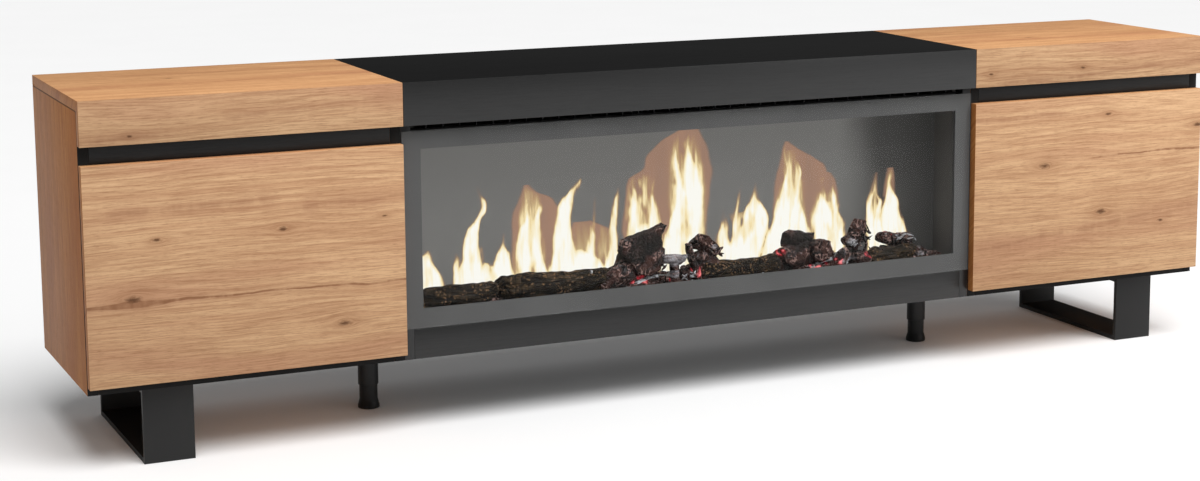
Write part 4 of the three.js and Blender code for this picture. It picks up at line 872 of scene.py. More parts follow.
@dataclass(frozen=True)
class PaleFloor(Finish):
    """Pale floor with a faint mottle, that bounces less light than it shows."""

    pale: Triple = tint(246, 246, 246)
    paler: Triple = tint(249, 249, 249)
    bounce: float = 0.55

    def lay(self, g: Paint) -> None:
        """Lay the mottle.

        Args:
            g: The material's graph.
        """
        colour = g.mix(g.noise(g.place, 3.0, 3.0), self.pale, self.paler)
        bounced = g.add("LightPath").outputs["Is Diffuse Ray"]
        g.set(Base_Color=g.mix(bounced, colour, (self.bounce,) * 3), Roughness=0.6, Specular_IOR_Level=0.2)


class Workshop:
    """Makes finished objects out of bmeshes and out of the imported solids."""

    def __init__(self) -> None:
        """Build the effects and the coats that more than one piece shares."""
        self.effects = SharedEffects()
        self.coats = {slot: coat.build(name, self.effects) for slot, (name, coat) in COATS.items()}
        self.made = 0

    def merged(self, node: str, flat: bool = True) -> Shape:
        """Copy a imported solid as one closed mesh.

        Args:
            node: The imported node's name.
            flat: True to join its coplanar triangles.

        Returns:
            The copy.
        """
        shape = bmesh.new()
        shape.from_mesh(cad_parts[node].data)
        bmesh.ops.remove_doubles(shape, verts=shape.verts, dist=WELD)
        if flat:
            bmesh.ops.dissolve_limit(shape, angle_limit=math.radians(0.4), verts=shape.verts, edges=shape.edges)
        return shape

    def soften(self, shape: Shape, width: float, segments: int, least: float = math.radians(30.0)) -> None:
        """Bevel the outer edges and mark the new faces for wear.

        Args:
            shape: The mesh to change.
            width: The bevel's width in metres.
            segments: The bevel's number of faces across.
            least: The smallest angle of an edge that is bevelled.
        """
        layer = shape.faces.layers.float.new("edge")
        sharp = [e for e in shape.edges if len(e.link_faces) == 2 and e.calc_face_angle_signed(0.0) > least]
        made = bmesh.ops.bevel(
            shape, geom=sharp, offset=width, offset_type="OFFSET", affect="EDGES", segments=segments, profile=0.5,
            material=-1, clamp_overlap=True,
        )
        for face in made["faces"]:
            face[layer] = 1.0

    def finish(
        self, name: str, shape: Shape, material: Material, slot: Slot, body: str = "cabinet",
        stands_for: tuple[str, ...] = (), smooth: float = 32.0,
    ) -> None:
        """Turn a bmesh into a piece of the object.

        Args:
            name: The piece's name.
            shape: Its mesh, in the part's frame. It is used up.
            material: Its finish.
            slot: The material slot of its finish. It is not used.
            body: The body that it moves with.
            stands_for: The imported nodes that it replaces.
            smooth: The angle, in degrees, below which an edge is shaded smooth.
        """
        for edge in shape.edges:
            edge.smooth = len(edge.link_faces) == 2 and edge.calc_face_angle(0.0) < math.radians(smooth)
        for face in shape.faces:
            face.smooth = True
        mesh = bpy.data.meshes.new(name)
        shape.to_mesh(mesh)
        shape.free()
        mesh.materials.append(material)
        piece = bpy.data.objects.new(name, mesh)
        bpy.context.scene.collection.objects.link(piece)
        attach(piece, body)
        if stands_for:
            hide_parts(*stands_for)
        self.made += 1
        log.info("%s: %d faces", name, len(mesh.polygons))

    def dressed(
        self, node: str, slot: Slot, material: Material | None = None, body: str = "cabinet", width: float = 0.0,
        segments: int = 2,
    ) -> None:
        """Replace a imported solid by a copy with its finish.

        Args:
            node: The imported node's name.
            slot: The material slot that it takes its finish from.
            material: Its finish, or None for the slot's own coat.
            body: The body that it moves with.
            width: The width of its softened edges in metres, or 0 for none.
            segments: The number of faces across a softened edge.
        """
        shape = self.merged(node)
        if width:
            self.soften(shape, width, segments)
        self.finish(f"{node}_dressed", shape, material or self.coats[slot], slot, body, (node,))

    def paint(self, node: str, material: Material) -> None:
        """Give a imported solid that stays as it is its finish.

        Args:
            node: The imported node's name.
            material: Its finish.
        """
        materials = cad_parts[node].data.materials
        materials.clear()
        materials.append(material)


@dataclass
class EndCabinet:
    """One oak end cabinet with its door.

    Args:
        workshop: Makes the objects.
        side: left or right.
        seed: Where in the wood its boards were cut.
        edge: The width of a board's softened edges.
        arm_edge: The width of a hinge arm's softened edges.
    """

    workshop: Workshop
    side: str
    seed: float
    edge: float = 0.5 * MM
    arm_edge: float = 0.3 * MM

    def oak(self, part: str, grain: Grain, step: float, band: bool, body: str = "cabinet") -> None:
        """Dress one board in oak.

        Args:
            part: The board's name without its side.
            grain: The way that the grain runs.
            step: How far on in the wood it was cut.
            band: True where its front edge is banded in black.
            body: The body that it moves with.
        """
        name = f"{self.side}_{part}"
        offset = (self.seed * 1.7 + step * 0.83, step * 0.11, self.seed * 0.31 - step * 0.29)
        decor = OakDecor(grain, offset, band=band, figure=FIGURES.get(name, Figure()))
        self.workshop.dressed(name, Slot.OAK, decor.build(f"oak_{name}", self.workshop.effects), body, self.edge)

    def build(self) -> None:
        """Build the boards, the door and its hinges."""
        for step, part in enumerate(("top_panel", "top_apron", "bottom_panel", "shelf")):
            self.oak(part, Grain.ALONG, step, part == "bottom_panel")
        for step, part in enumerate(("outer_side", "inner_side")):
            self.oak(part, Grain.UPRIGHT, step + 5.0, True)
        black = BlackWoodDecor(Grain.ALONG, (self.seed, 0.0, 0.2), specular=0.3)
        black = black.build(f"black_{self.side}_rail", self.workshop.effects)
        self.workshop.dressed(f"{self.side}_handle_rail", Slot.BLACK_BOARD, black, width=0.4 * MM)
        self.workshop.dressed(f"{self.side}_back_panel", Slot.BACK_BOARD)
        door = f"{self.side}_door"
        self.oak("door", Grain.ALONG, 8.0, False, door)
        for hinge in (f"{self.side}_lower_hinge", f"{self.side}_upper_hinge"):
            self.workshop.dressed(f"{hinge}_cup", Slot.ZINC, body=door)
            self.workshop.dressed(f"{hinge}_arm", Slot.ZINC, width=self.arm_edge, segments=1)


@dataclass
class CentreModule:
    """Black centre carcass."""

    workshop: Workshop
    edge: float = 0.5 * MM

    def build(self) -> None:
        """Build the boards."""
        steps = {"top_panel": 0, "top_apron": 1, "front_rail": 2, "bottom_panel": 3, "left_side": 6, "right_side": 7}
        for part, step in steps.items():
            grain = Grain.UPRIGHT if part.endswith("side") else Grain.ALONG
            black = BlackWoodDecor(grain, (step * 0.9, 0.0, step * 0.37)).build(f"black_{part}", self.workshop.effects)
            self.workshop.dressed(f"centre_{part}", Slot.BLACK_BOARD, black, width=self.edge)
        self.workshop.dressed("centre_back_panel", Slot.BACK_BOARD)


@dataclass
class Undercarriage:
    """Bar legs, and the round legs under the module joints.

    Args:
        workshop: Makes the objects.
        joint_x: How far the round legs stand from the middle.
        joint_y: How far back they stand.
        steps: The number of faces round them.
        bar_edge: The width of a bar leg's softened edges.
        sleeve: Radii and heights of a round leg's sleeve, in millimetres.
        foot: Radii and heights of its foot, in millimetres.
    """

    workshop: Workshop
    joint_x: float = 519 * MM
    joint_y: float = 17 * MM
    steps: int = 64
    bar_edge: float = 0.9 * MM
    sleeve: tuple[Pair, ...] = (
        (15.0, 39.0), (15.9, 39.0), (16.4, 39.6), (16.4, 108.5), (17.6, 111.4), (28.4, 112.7), (29.0, 113.2),
        (29.0, 115.7), (0.0, 115.7), (0.0, 112.7), (15.0, 112.7), (15.0, 39.0),
    )
    foot: tuple[Pair, ...] = (
        (0.0, 0.0), (16.7, 0.0), (17.5, 0.8), (17.5, 5.4), (16.9, 6.6), (15.4, 12.5), (14.7, 15.0), (14.7, 80.0),
        (0.0, 80.0),
    )

    def turn(self, node: str, body: str, points: tuple[Pair, ...], x: float) -> None:
        """Spin a profile round an upright axis.

        Args:
            node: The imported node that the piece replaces.
            body: The body that it moves with.
            points: Its radii and heights, in millimetres.
            x: Where its axis stands.
        """
        shape = bmesh.new()
        verts = [shape.verts.new((r * MM, 0.0, z * MM)) for r, z in points]
        edges = [shape.edges.new(pair) for pair in zip(verts, verts[1:])]
        bmesh.ops.spin(
            shape, geom=verts + edges, cent=NO_SHIFT, axis=(0.0, 0.0, 1.0), angle=math.tau, steps=self.steps,
            use_merge=True,
        )
        bmesh.ops.remove_doubles(shape, verts=shape.verts, dist=0.5 * WELD)
        bmesh.ops.recalc_face_normals(shape, faces=shape.faces)
        bmesh.ops.translate(shape, verts=shape.verts, vec=(x, self.joint_y, 0.0))
        plastic = self.workshop.coats[Slot.BLACK_PLASTIC]
        self.workshop.finish(f"{node}_turned", shape, plastic, Slot.BLACK_PLASTIC, body, (node,))

    def build(self) -> None:
        """Build the legs of both sides."""
        for side, x in (("left", -self.joint_x), ("right", self.joint_x)):
            foot = f"{side}_support_foot"
            self.workshop.dressed(f"{side}_sled_leg", Slot.BLACK_STEEL, width=self.bar_edge, segments=3)
            self.turn(f"{side}_support_sleeve", "cabinet", self.sleeve, x)
            self.turn(foot, foot, self.foot, x)


@dataclass(frozen=True)
class Tongue:
    """One tongue of flame, or one brown haze, as it stands on the screen, in millimetres.

    Args:
        stations: The height, the left edge and the right edge at places from its foot to its tip.
        soft: How far in from its edge it reaches its full heat.
        power: The heat of its middle.
        fade: The share of its height over which it cools towards its tip.
        coolest: The share of its heat that is left at its tip.
        spill: How far it shines beyond its edges.
    """

    stations: tuple[Triple, ...]
    soft: float = 12.0
    power: float = 1.0
    fade: float = 0.4
    coolest: float = 0.42
    spill: float = 2.0

    @staticmethod
    def curve(t: float, a: float, b: float, c: float, d: float) -> float:
        """Go from b to c along a smooth curve that heeds a before them and d behind them."""
        turn = 2 * a - 5 * b + 4 * c - d + (3 * b - a - 3 * c + d) * t
        return b + 0.5 * t * (c - a + t * turn)

    def edges(self, z: float) -> Pair | None:
        """Find the edges along smooth curves through the stations.

        Args:
            z: The height.

        Returns:
            Its left and right edge there, or None below its foot and above its tip.
        """
        rows = self.stations
        if not rows[0][0] <= z <= rows[-1][0]:
            return None
        last = max(i for i in range(len(rows) - 1) if rows[i][0] <= z)
        near = [rows[min(max(i, 0), len(rows) - 1)] for i in range(last - 1, last + 3)]
        t = (z - near[1][0]) / (near[2][0] - near[1][0])
        return tuple(self.curve(t, *(row[side] for row in near)) for side in (1, 2))

    def cooling(self, z: float) -> float:
        """Find how far it has cooled.

        Args:
            z: The height.

        Returns:
            The share of its heat that is left there.
        """
        low, high = self.stations[0][0], self.stations[-1][0]
        share = min(max((high - z) / (self.fade * (high - low)), 0.0), 1.0)
        return self.coolest + (1.0 - self.coolest) * share * (2.0 - share)

    def strength(self, x: float, edges: Pair, cooling: float) -> float:
        """Heat at x between its edges, where it has cooled by a share."""
        share = min(max((min(x - edges[0], edges[1] - x) + self.spill) / self.soft, 0.0), 1.0)
        return self.power * cooling * share * share * (3.0 - 2.0 * share)


FLAMES = (
    Tongue((
        (206, -297, -234), (260, -297, -236), (310, -288, -238), (340, -281, -244), (354, -277, -262),
    ), 14.0, 0.5, 0.6),
    Tongue(((206, -204, -118), (250, -204, -116), (276, -200, -120), (293, -190, -150)), 18.0, 0.28, 0.8),
    Tongue(((240, -104, -26), (290, -103, -32), (320, -100, -40), (345, -94, -44), (366, -80, -52)), 16.0, 0.52, 0.7),
    Tongue(((240, -30, 58), (300, -26, 58), (350, -24, 54), (390, -22, 46), (434, -4, 30)), 22.0, 0.45, 0.5),
    Tongue(((214, 60, 170), (240, 62, 170), (262, 70, 160), (284, 90, 132)), 16.0, 0.5, 0.7),
    Tongue(((230, 150, 254), (290, 174, 240), (335, 188, 238), (360, 192, 230), (380, 194, 222)), 16.0, 0.48, 0.6),
    Tongue(((206, 244, 322), (270, 244, 318), (300, 256, 300), (330, 262, 294)), 14.0, 0.45, 0.6),
    Tongue(((204, 354, 392), (280, 354, 384), (330, 370, 380)), 10.0, 0.4, 0.6),
    Tongue(((196, -398, -288), (212, -393, -297), (226, -386, -312), (240, -378, -334)), 12.0),
    Tongue(((202, -240, -128), (220, -234, -134), (236, -226, -148), (246, -214, -168)), 12.0),
    Tongue(((200, 62, 152), (220, 66, 148), (238, 76, 142)), 12.0),
    Tongue(((200, -468, -408), (215, -468, -412), (232, -468, -418), (250, -463, -428), (268, -442, -433))),
    Tongue((
        (198, -401, -341), (230, -394, -341), (250, -384, -344), (280, -379, -349), (295, -372, -349),
        (308, -362, -345), (320, -352, -337), (331, -349, -335), (341, -350, -339), (351, -353, -346),
        (363, -356, -352),
    )),
    Tongue(((198, -400, -376), (238, -397, -382), (252, -394, -385), (261, -393, -389)), 10.0, 0.8),
    Tongue((
        (202, -342, -283), (220, -338, -289), (240, -330, -295), (252, -324, -298), (263, -318, -304),
        (275, -313, -306), (284, -311, -305),
    )),
    Tongue((
        (208, -287, -252), (235, -293, -256), (260, -294, -260), (288, -288, -261), (305, -277, -261),
        (320, -273, -262), (336, -276, -266), (350, -276, -267), (358, -273, -269),
    ), 14.0),
    Tongue((
        (208, -264, -230), (240, -266, -240), (270, -265, -243), (300, -262, -243), (315, -257, -240),
        (326, -253, -242), (336, -254, -248), (344, -255, -251),
    ), 12.0),
    Tongue((
        (202, -238, -170), (230, -233, -176), (250, -229, -182), (275, -226, -189), (300, -223, -191),
        (320, -217, -186), (335, -207, -182), (350, -192, -175), (361, -180, -170), (368, -173, -168),
    ), 12.0),
    Tongue((
        (202, -176, -138), (240, -170, -145), (270, -165, -145), (290, -161, -146), (308, -158, -148),
        (331, -153, -149),
    ), 14.0, 0.9),
    Tongue((
        (198, -146, -98), (220, -136, -103), (240, -131, -107), (262, -128, -108), (290, -125, -109),
        (310, -122, -108), (325, -118, -107), (343, -111, -107),
    ), 12.0),
    Tongue((
        (240, -98, -66), (265, -101, -64), (290, -99, -64), (312, -96, -66), (332, -91, -70), (357, -83, -78),
    ), 18.0, 0.95),
    Tongue((
        (240, -76, -26), (268, -66, -29), (290, -60, -32), (310, -57, -37), (330, -53, -43), (360, -47, -42),
    ), 14.0),
    Tongue(((240, -98, -28), (260, -98, -28), (282, -92, -34)), 15.0),
    Tongue((
        (198, -42, 24), (230, -37, 26), (255, -32, 36), (275, -24, 36), (300, -14, 32), (330, -12, 18), (360, -14, 9),
        (380, -16, 3), (395, -15, 0), (408, -11, -2), (418, -7, -3),
    ), 14.0),
    Tongue((
        (210, 8, 44), (240, 4, 46), (270, 4, 47), (300, 3, 49), (330, 4, 48), (355, 5, 43), (375, 5, 35),
        (395, 9, 25), (412, 12, 21), (432, 15, 20),
    ), 15.0),
    Tongue(((198, 64, 100), (225, 67, 102), (245, 67, 100), (262, 71, 98), (276, 76, 94), (292, 80, 84)), 14.0, 0.9),
    Tongue((
        (198, 88, 134), (230, 91, 124), (255, 93, 117), (280, 98, 112), (300, 104, 114), (332, 114, 118),
    ), 14.0, 0.92),
    Tongue((
        (200, 108, 152), (240, 108, 166), (260, 111, 170), (275, 116, 168), (290, 122, 161), (305, 130, 151),
        (318, 136, 148), (332, 141, 145),
    ), 12.0),
    Tongue((
        (206, 150, 200), (235, 156, 206), (255, 166, 213), (275, 175, 215), (300, 183, 214), (322, 189, 213),
        (345, 197, 211), (365, 194, 205), (380, 194, 203), (393, 198, 204),
    ), 15.0),
    Tongue((
        (232, 196, 252), (262, 205, 242), (285, 211, 235), (305, 215, 231), (325, 219, 231), (340, 222, 234),
        (353, 221, 231), (363, 220, 226), (374, 218, 222),
    ), 12.0),
    Tongue((
        (206, 258, 304), (240, 249, 304), (262, 247, 298), (282, 254, 288), (300, 261, 277), (330, 264, 268),
    ), 14.0),
    Tongue((
        (202, 288, 320), (250, 286, 319), (266, 286, 312), (286, 285, 303), (302, 283, 299), (328, 287, 291),
    ), 14.0),
    Tongue((
        (192, 358, 397), (215, 356, 388), (235, 355, 380), (255, 354, 377), (272, 355, 373), (288, 360, 374),
        (302, 366, 377), (328, 375, 379),
    ), 12.0, 0.95),
    Tongue((
        (204, 372, 402), (246, 370, 388), (266, 375, 389), (281, 380, 389), (291, 377, 383), (300, 372, 376),
    ), 8.0),
    Tongue((
        (214, 388, 446), (235, 384, 438), (250, 384, 432), (266, 385, 427), (281, 389, 424), (296, 392, 414),
        (311, 395, 408), (323, 397, 410), (334, 400, 409),
    ), 12.0),
)
HAZES = (
    Tongue((
        (208, -296, -210), (240, -300, -208), (270, -300, -205), (300, -299, -202), (322, -294, -214),
        (336, -286, -226), (346, -281, -250), (359, -277, -262),
    )),
    Tongue(((206, -204, -118), (250, -204, -116), (276, -200, -120), (293, -192, -156))),
    Tongue((
        (232, -44, 48), (258, -102, 51), (300, -102, 58), (330, -99, 61), (355, -92, 66), (368, -68, 63),
        (385, -62, 58), (400, -50, 53), (415, -30, 46), (425, -8, 41), (434, 2, 35),
    )),
    Tongue((
        (236, 166, 262), (262, 170, 262), (300, 174, 296), (330, 177, 288), (345, 180, 280), (356, 184, 272),
        (366, 187, 256), (376, 190, 238), (386, 192, 220), (396, 196, 208),
    )),
    Tongue(((262, 250, 306), (310, 260, 303), (326, 262, 299), (338, 268, 290))),
    Tongue(((250, 353, 376), (300, 362, 379), (333, 374, 380)), 6.0, 0.5),
    Tongue(((290, 388, 416), (320, 394, 414), (338, 398, 411)), 6.0, 0.6),
)


@dataclass(frozen=True)
class Glow:
    """A place in the embers that glows, or has a colour of its own, in millimetres."""

    x: float
    z: float
    reach: float
    squash: float = 1.6

    def share(self, x: float, z: float) -> float:
        """How strong it is at a place: 1 in its middle, and 0 or less beyond its reach."""
        return 1.0 - math.hypot(x - self.x, (z - self.z) * self.squash) / self.reach


GLOWS = (
    Glow(-96, 192, 27), Glow(-122, 189, 12), Glow(8, 206, 13), Glow(13, 197, 9), Glow(232, 189, 26),
    Glow(334, 205, 14), Glow(272, 198, 10), Glow(-176, 222, 12), Glow(-52, 195, 10), Glow(372, 238, 9),
    Glow(165, 221, 11),
)
PALE = (
    Glow(-42, 229, 24), Glow(-20, 229, 16), Glow(-36, 204, 13), Glow(299, 228, 13), Glow(298, 199, 12),
    Glow(276, 197, 8), Glow(36, 243, 7), Glow(432, 197, 10), Glow(-58, 197, 8),
)
SOOT = (
    Glow(203, 239, 30), Glow(185, 240, 20), Glow(-112, 240, 26), Glow(-90, 262, 40), Glow(76, 223, 12),
    Glow(300, 212, 12),
)


@dataclass(frozen=True)
class Chunk:
    """A charred chunk with flat sides, in millimetres.

    Args:
        outline: X and Z of its corners, seen from the front.
        front: Y of its front face.
        depth: How deep it is.
    """

    outline: tuple[Pair, ...]
    front: float = -137.0
    depth: float = 24.0


CHUNKS = (
    Chunk((
        (-134, 248), (-128, 266), (-112, 271), (-96, 275), (-80, 279), (-54, 288), (-63, 272), (-62, 246), (-66, 214),
        (-84, 206), (-104, 210), (-119, 230),
    )),
    Chunk(((219, 213), (220, 230), (228, 236), (240, 237), (252, 235), (251, 204), (238, 200), (225, 204))),
    Chunk(((2, 258), (11, 266), (27, 261), (50, 238), (46, 229), (28, 241), (14, 249)), -128.0, 10.0),
)


@dataclass(frozen=True)
class Trim:
    """How a moulded chunk of the bed is drawn in above a height, in millimetres.

    Args:
        low: X where it begins.
        high: X where it ends.
        above: The height from which it is drawn in.
        middle: X that stays where it is.
        narrow: The share of its width that is left.
        squat: The share of its height that is left.
        blend: The height over which the change comes in.
    """

    low: float
    high: float
    above: float
    middle: float
    narrow: float
    squat: float = 1.0
    blend: float = 14.0

    def move(self, x: float, z: float) -> Pair:
        """Draw one place in.

        Args:
            x: Where it is.
            z: Its height.

        Returns:
            Where it comes to lie.
        """
        if self.low < x < self.high and z > self.above:
            x += (self.middle - x) * (1.0 - self.narrow) * min((z - self.above) / self.blend, 1.0)
            z -= (z - self.above) * (1.0 - self.squat)
        return x, z


TRIMS = (Trim(-170, -70, 218, -88, 0.72), Trim(140, 232, 226, 216, 0.74), Trim(300, 352, 222, 326, 1.4, 0.8))


@dataclass(frozen=True)
class Crust:
    """A curved crust of pale ash over glowing coals, in millimetres."""

    x: float
    z: float
    half_length: float
    front: float = -131.0
    bend: float = 12.0
    half_width: float = 2.5
    ripple: float = 1.2
    thickness: float = 1.4
    coals: int = 9


CRUSTS = (Crust(-101, 193, 33), Crust(228, 192, 30))
CHIP_FRONT = -134.0
CHIP_SPOTS = ((-216, 189), (-210, 188), (-164, 189), (-126, 190), (126, 190), (172, 189), (-188, 222))


@dataclass(frozen=True)
class Litter:
    """Thin pieces that are strewn round some places, in millimetres.

    Args:
        spots: X, Z, half width and half height of each place.
        count: How many lie at each place.
        depth: The least and the greatest Y.
        length: The least and the greatest half length.
        thickness: The least and the greatest half thickness.
        tilt: How steep they may stand, in radians.
        rough: The depth of their roughness, as a share of their size.
        yaw: How far their ends may point to the back, in radians.
    """

    spots: tuple[tuple[float, float, float, float], ...]
    count: int
    depth: Pair
    length: Pair
    thickness: Pair
    tilt: float
    rough: float
    yaw: float = 0.6


TWIGS = Litter(
    ((-6, 194, 16, 10), (338, 197, 14, 12), (284, 196, 9, 7), (300, 226, 6, 3), (404, 228, 20, 5)),
    count=9, depth=(-131.0, -125.0), length=(3.5, 8.0), thickness=(0.8, 1.6), tilt=0.9, rough=0.4,
)
STICKS = Litter(
    (
        (318, 228, 13, 15), (398, 224, 20, 5), (40, 236, 13, 7), (-60, 215, 6, 8), (350, 204, 12, 8),
        (326, 240, 7, 13),
    ),
    count=11, depth=(-128.0, -118.0), length=(4.0, 9.0), thickness=(1.3, 2.4), tilt=1.4, rough=0.5,
)


@dataclass
class Fire:
    """The electric fire: glass, frame, screen, bed, logs, coals, flames and its works.

    Args:
        workshop: Makes the objects.
        screen_gap: How far the flame light stands before the screen.
        flame_step: The size of its faces, in millimetres.
        flame_window: Its left, right, lower and upper end, in millimetres.
        coal_count: How many coals are dropped on the bed.
        coal_margin: How far they stay from the bed's ends.
        coal_depth: How far behind the bed's front they fall.
        coal_radius: Their least and greatest radius.
        coal_top: A coal that lands above this height is left out.
        drop_height: The height from which they are dropped.
        finest: Edges longer than this are cut, where a piece is made rough.
        rng: The draws.
    """

    workshop: Workshop
    screen_gap: float = 0.5 * MM
    flame_step: float = 2.0
    flame_window: tuple[float, float, float, float] = (-466.0, 458.0, 190.0, 438.0)
    coal_count: int = 130
    coal_margin: float = 14 * MM
    coal_depth: Pair = (6 * MM, 60 * MM)
    coal_radius: Pair = (3 * MM, 6.5 * MM)
    coal_top: float = 206 * MM
    drop_height: float = 320 * MM
    finest: float = 5 * MM
    rng: random.Random = field(default_factory=lambda: random.Random(7))

    def build(self) -> None:
        """Build everything that is in the insert."""
        workshop, effects = self.workshop, self.workshop.effects
        workshop.dressed("front_glass", Slot.GLASS, ClearGlass().build("front_glass", effects), width=0.4 * MM)
        workshop.dressed("front_frame", Slot.GREY_STEEL)
        workshop.dressed("flame_screen", Slot.SCREEN, LitScreen().build("flame_screen", effects))
        workshop.dressed("outlet_grille", Slot.BLACK_PLASTIC)
        workshop.paint("insert_casing", CASING.build("casing_paint", effects))
        bed = self.build_bed()
        self.build_logs()
        self.build_coals(bed)
        self.build_ash()
        self.build_chunks()
        self.build_flames()
        self.build_works()

    def roughen(self, shape: Shape, size: float, reach: float, stretch: Triple = EVEN) -> None:
        """Push each point along its normal by smooth noise.

        Args:
            shape: The mesh to change.
            size: The length of a lump in metres.
            reach: The greatest push in metres.
            stretch: How much longer the lumps are along each axis.
        """
        shape.normal_update()
        moves = []
        for vert in shape.verts:
            spot = Vector(c / s for c, s in zip(vert.co, stretch)) / size
            moves.append(vert.normal * reach * (noise.noise(spot) + 0.5 * noise.noise(spot * 2.3)))
        for vert, move in zip(shape.verts, moves):
            vert.co += move

    def refine(self, shape: Shape) -> None:
        """Cut the long edges into three."""
        long_edges = [e for e in shape.edges if e.calc_length() > self.finest]
        bmesh.ops.subdivide_edges(shape, edges=long_edges, cuts=2, use_grid_fill=True)

    def char(self, name: str, shape: Shape, material: str, smooth: float, *stands_for: str) -> None:
        """Mark the glow of cinders and finish them.

        Args:
            name: The piece's name.
            shape: Its mesh.
            material: The name of its finish.
            smooth: The angle, in degrees, below which an edge is shaded smooth.
            stands_for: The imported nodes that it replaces.
        """
        self.add_glow(shape)
        coal = GlowingCoal().build(material, self.workshop.effects)
        self.workshop.finish(name, shape, coal, Slot.EMBERS, stands_for=stands_for, smooth=smooth)

    def build_bed(self) -> Shape:
        """Build the ember bed with finer lumps.

        Returns:
            A plain copy of the bed, to drop coals on.
        """
        shape = self.workshop.merged("ember_bed")
        bmesh.ops.triangulate(shape, faces=shape.faces)
        plain = shape.copy()
        self.refine(shape)
        for vert in shape.verts:
            x, z = vert.co.x / MM, vert.co.z / MM
            for trim in TRIMS:
                x, z = trim.move(x, z)
            vert.co.x, vert.co.z = x * MM, z * MM
        self.roughen(shape, size=9 * MM, reach=1.1 * MM)
        self.char("ember_bed_rough", shape, "ember_bed", 60.0, "ember_bed")
        return plain

    def build_logs(self) -> None:
        """Build the logs with finer bark."""
        bark = CharredBark().build("charred_bark", self.workshop.effects)
        for node in ("log_far_left", "log_mid_left", "log_mid_right", "log_far_right"):
            shape = self.workshop.merged(node, flat=False)
            bmesh.ops.subdivide_edges(shape, edges=shape.edges, cuts=3, use_grid_fill=True, smooth=0.6)
            self.roughen(shape, size=14 * MM, reach=1.8 * MM, stretch=(1.6, 1.0, 1.0))
            self.roughen(shape, size=5 * MM, reach=1.0 * MM, stretch=(5.0, 1.0, 1.0))
            self.workshop.finish(f"{node}_bark", shape, bark, Slot.LOG, stands_for=(node,), smooth=55.0)

    def add_lump(self, shape: Shape, place: Vector, size: Vector, turn: Euler, rough: float = 0.5) -> None:
        """Add one rough lump.

        Args:
            shape: The mesh to add to.
            place: Its middle.
            size: Its half size along each of its own axes.
            turn: How it is turned.
            rough: The depth of its roughness, as a share of its size.
        """
        verts = bmesh.ops.create_icosphere(shape, subdivisions=2, radius=1.0)["verts"]
        shift = place / (7 * MM)
        for vert in verts:
            vert.co *= 1.0 + rough * noise.noise(vert.co * 1.9 + shift)
        bmesh.ops.scale(shape, vec=size, verts=verts)
        bmesh.ops.rotate(shape, verts=verts, cent=NO_SHIFT, matrix=turn.to_matrix())
        bmesh.ops.translate(shape, verts=verts, vec=place)

    def build_coals(self, bed: Shape) -> None:
        """Drop coals on the bed, and lay some under each crust of ash.

        Args:
            bed: A plain copy of the bed. It is used up.
        """
        tree = BVHTree.FromBMesh(bed)
        shape = bmesh.new()
        low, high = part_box("ember_bed")
        draw = self.rng.uniform
        for _ in range(self.coal_count):
            x, y = draw(low.x + self.coal_margin, high.x - self.coal_margin), low.y + draw(*self.coal_depth)
            hit = tree.ray_cast(Vector((x, y, self.drop_height)), Vector((0.0, 0.0, -1.0)))[0]
            if hit is None or hit.z > self.coal_top:
                continue
            radius = draw(*self.coal_radius)
            size = Vector((draw(0.8, 1.5), draw(0.7, 1.2), draw(0.55, 1.0))) * radius
            turn = Euler([draw(0, math.tau) for _ in range(3)])
            self.add_lump(shape, Vector((x, y, hit.z + radius * 0.3)), size, turn)
        for crust in CRUSTS:
            for index in range(crust.coals):
                x = crust.x + crust.half_length * (2 * index / crust.coals - 0.85)
                place = Vector((x, crust.front + draw(0, 3), crust.z - 1.0 + draw(-2, 2))) * MM
                size = Vector((1.0, 0.8, 0.8)) * draw(4.0, 6.0) * MM
                self.add_lump(shape, place, size, Euler((0.0, draw(0, 3), 0.0)))
        bed.free()
        self.char("loose_coals", shape, "loose_coals", 40.0)

    def add_crust(self, shape: Shape, crust: Crust) -> None:
        """Add one crust of ash.

        Args:
            shape: The mesh to add to.
            crust: The crust.
        """
        made = bmesh.ops.create_grid(shape, x_segments=40, y_segments=8, size=1.0)["verts"]
        for vert in made:
            along, across = vert.co.x, vert.co.y
            half_width = crust.half_width * (1.0 - 0.6 * along * along)
            rise = crust.bend * (1.0 - (0.4 * along - 0.4) ** 2 / 0.3) + across * 1.5
            rise += crust.ripple * noise.noise(Vector((along * 6.0, across * 2.0, crust.x)))
            place = (crust.x + along * crust.half_length, crust.front + across * half_width, crust.z + rise)
            vert.co = Vector(place) * MM
        faces = {face for vert in made for face in vert.link_faces}
        bmesh.ops.solidify(shape, geom=list(faces), thickness=crust.thickness * MM)

    def strew(self, shape: Shape, litter: Litter) -> None:
        """Strew thin pieces.

        Args:
            shape: The mesh to add to.
            litter: The pieces.
        """
        draw = self.rng.uniform
        for x, z, wide, tall in litter.spots:
            for _ in range(litter.count):
                place = Vector((x + draw(-wide, wide), draw(*litter.depth), z + draw(-tall, tall)))
                size = Vector((draw(*litter.length), draw(*litter.thickness), draw(*litter.thickness)))
                turn = Euler((0.0, draw(-litter.tilt, litter.tilt), draw(-litter.yaw, litter.yaw)))
                self.add_lump(shape, place * MM, size * MM, turn, litter.rough)

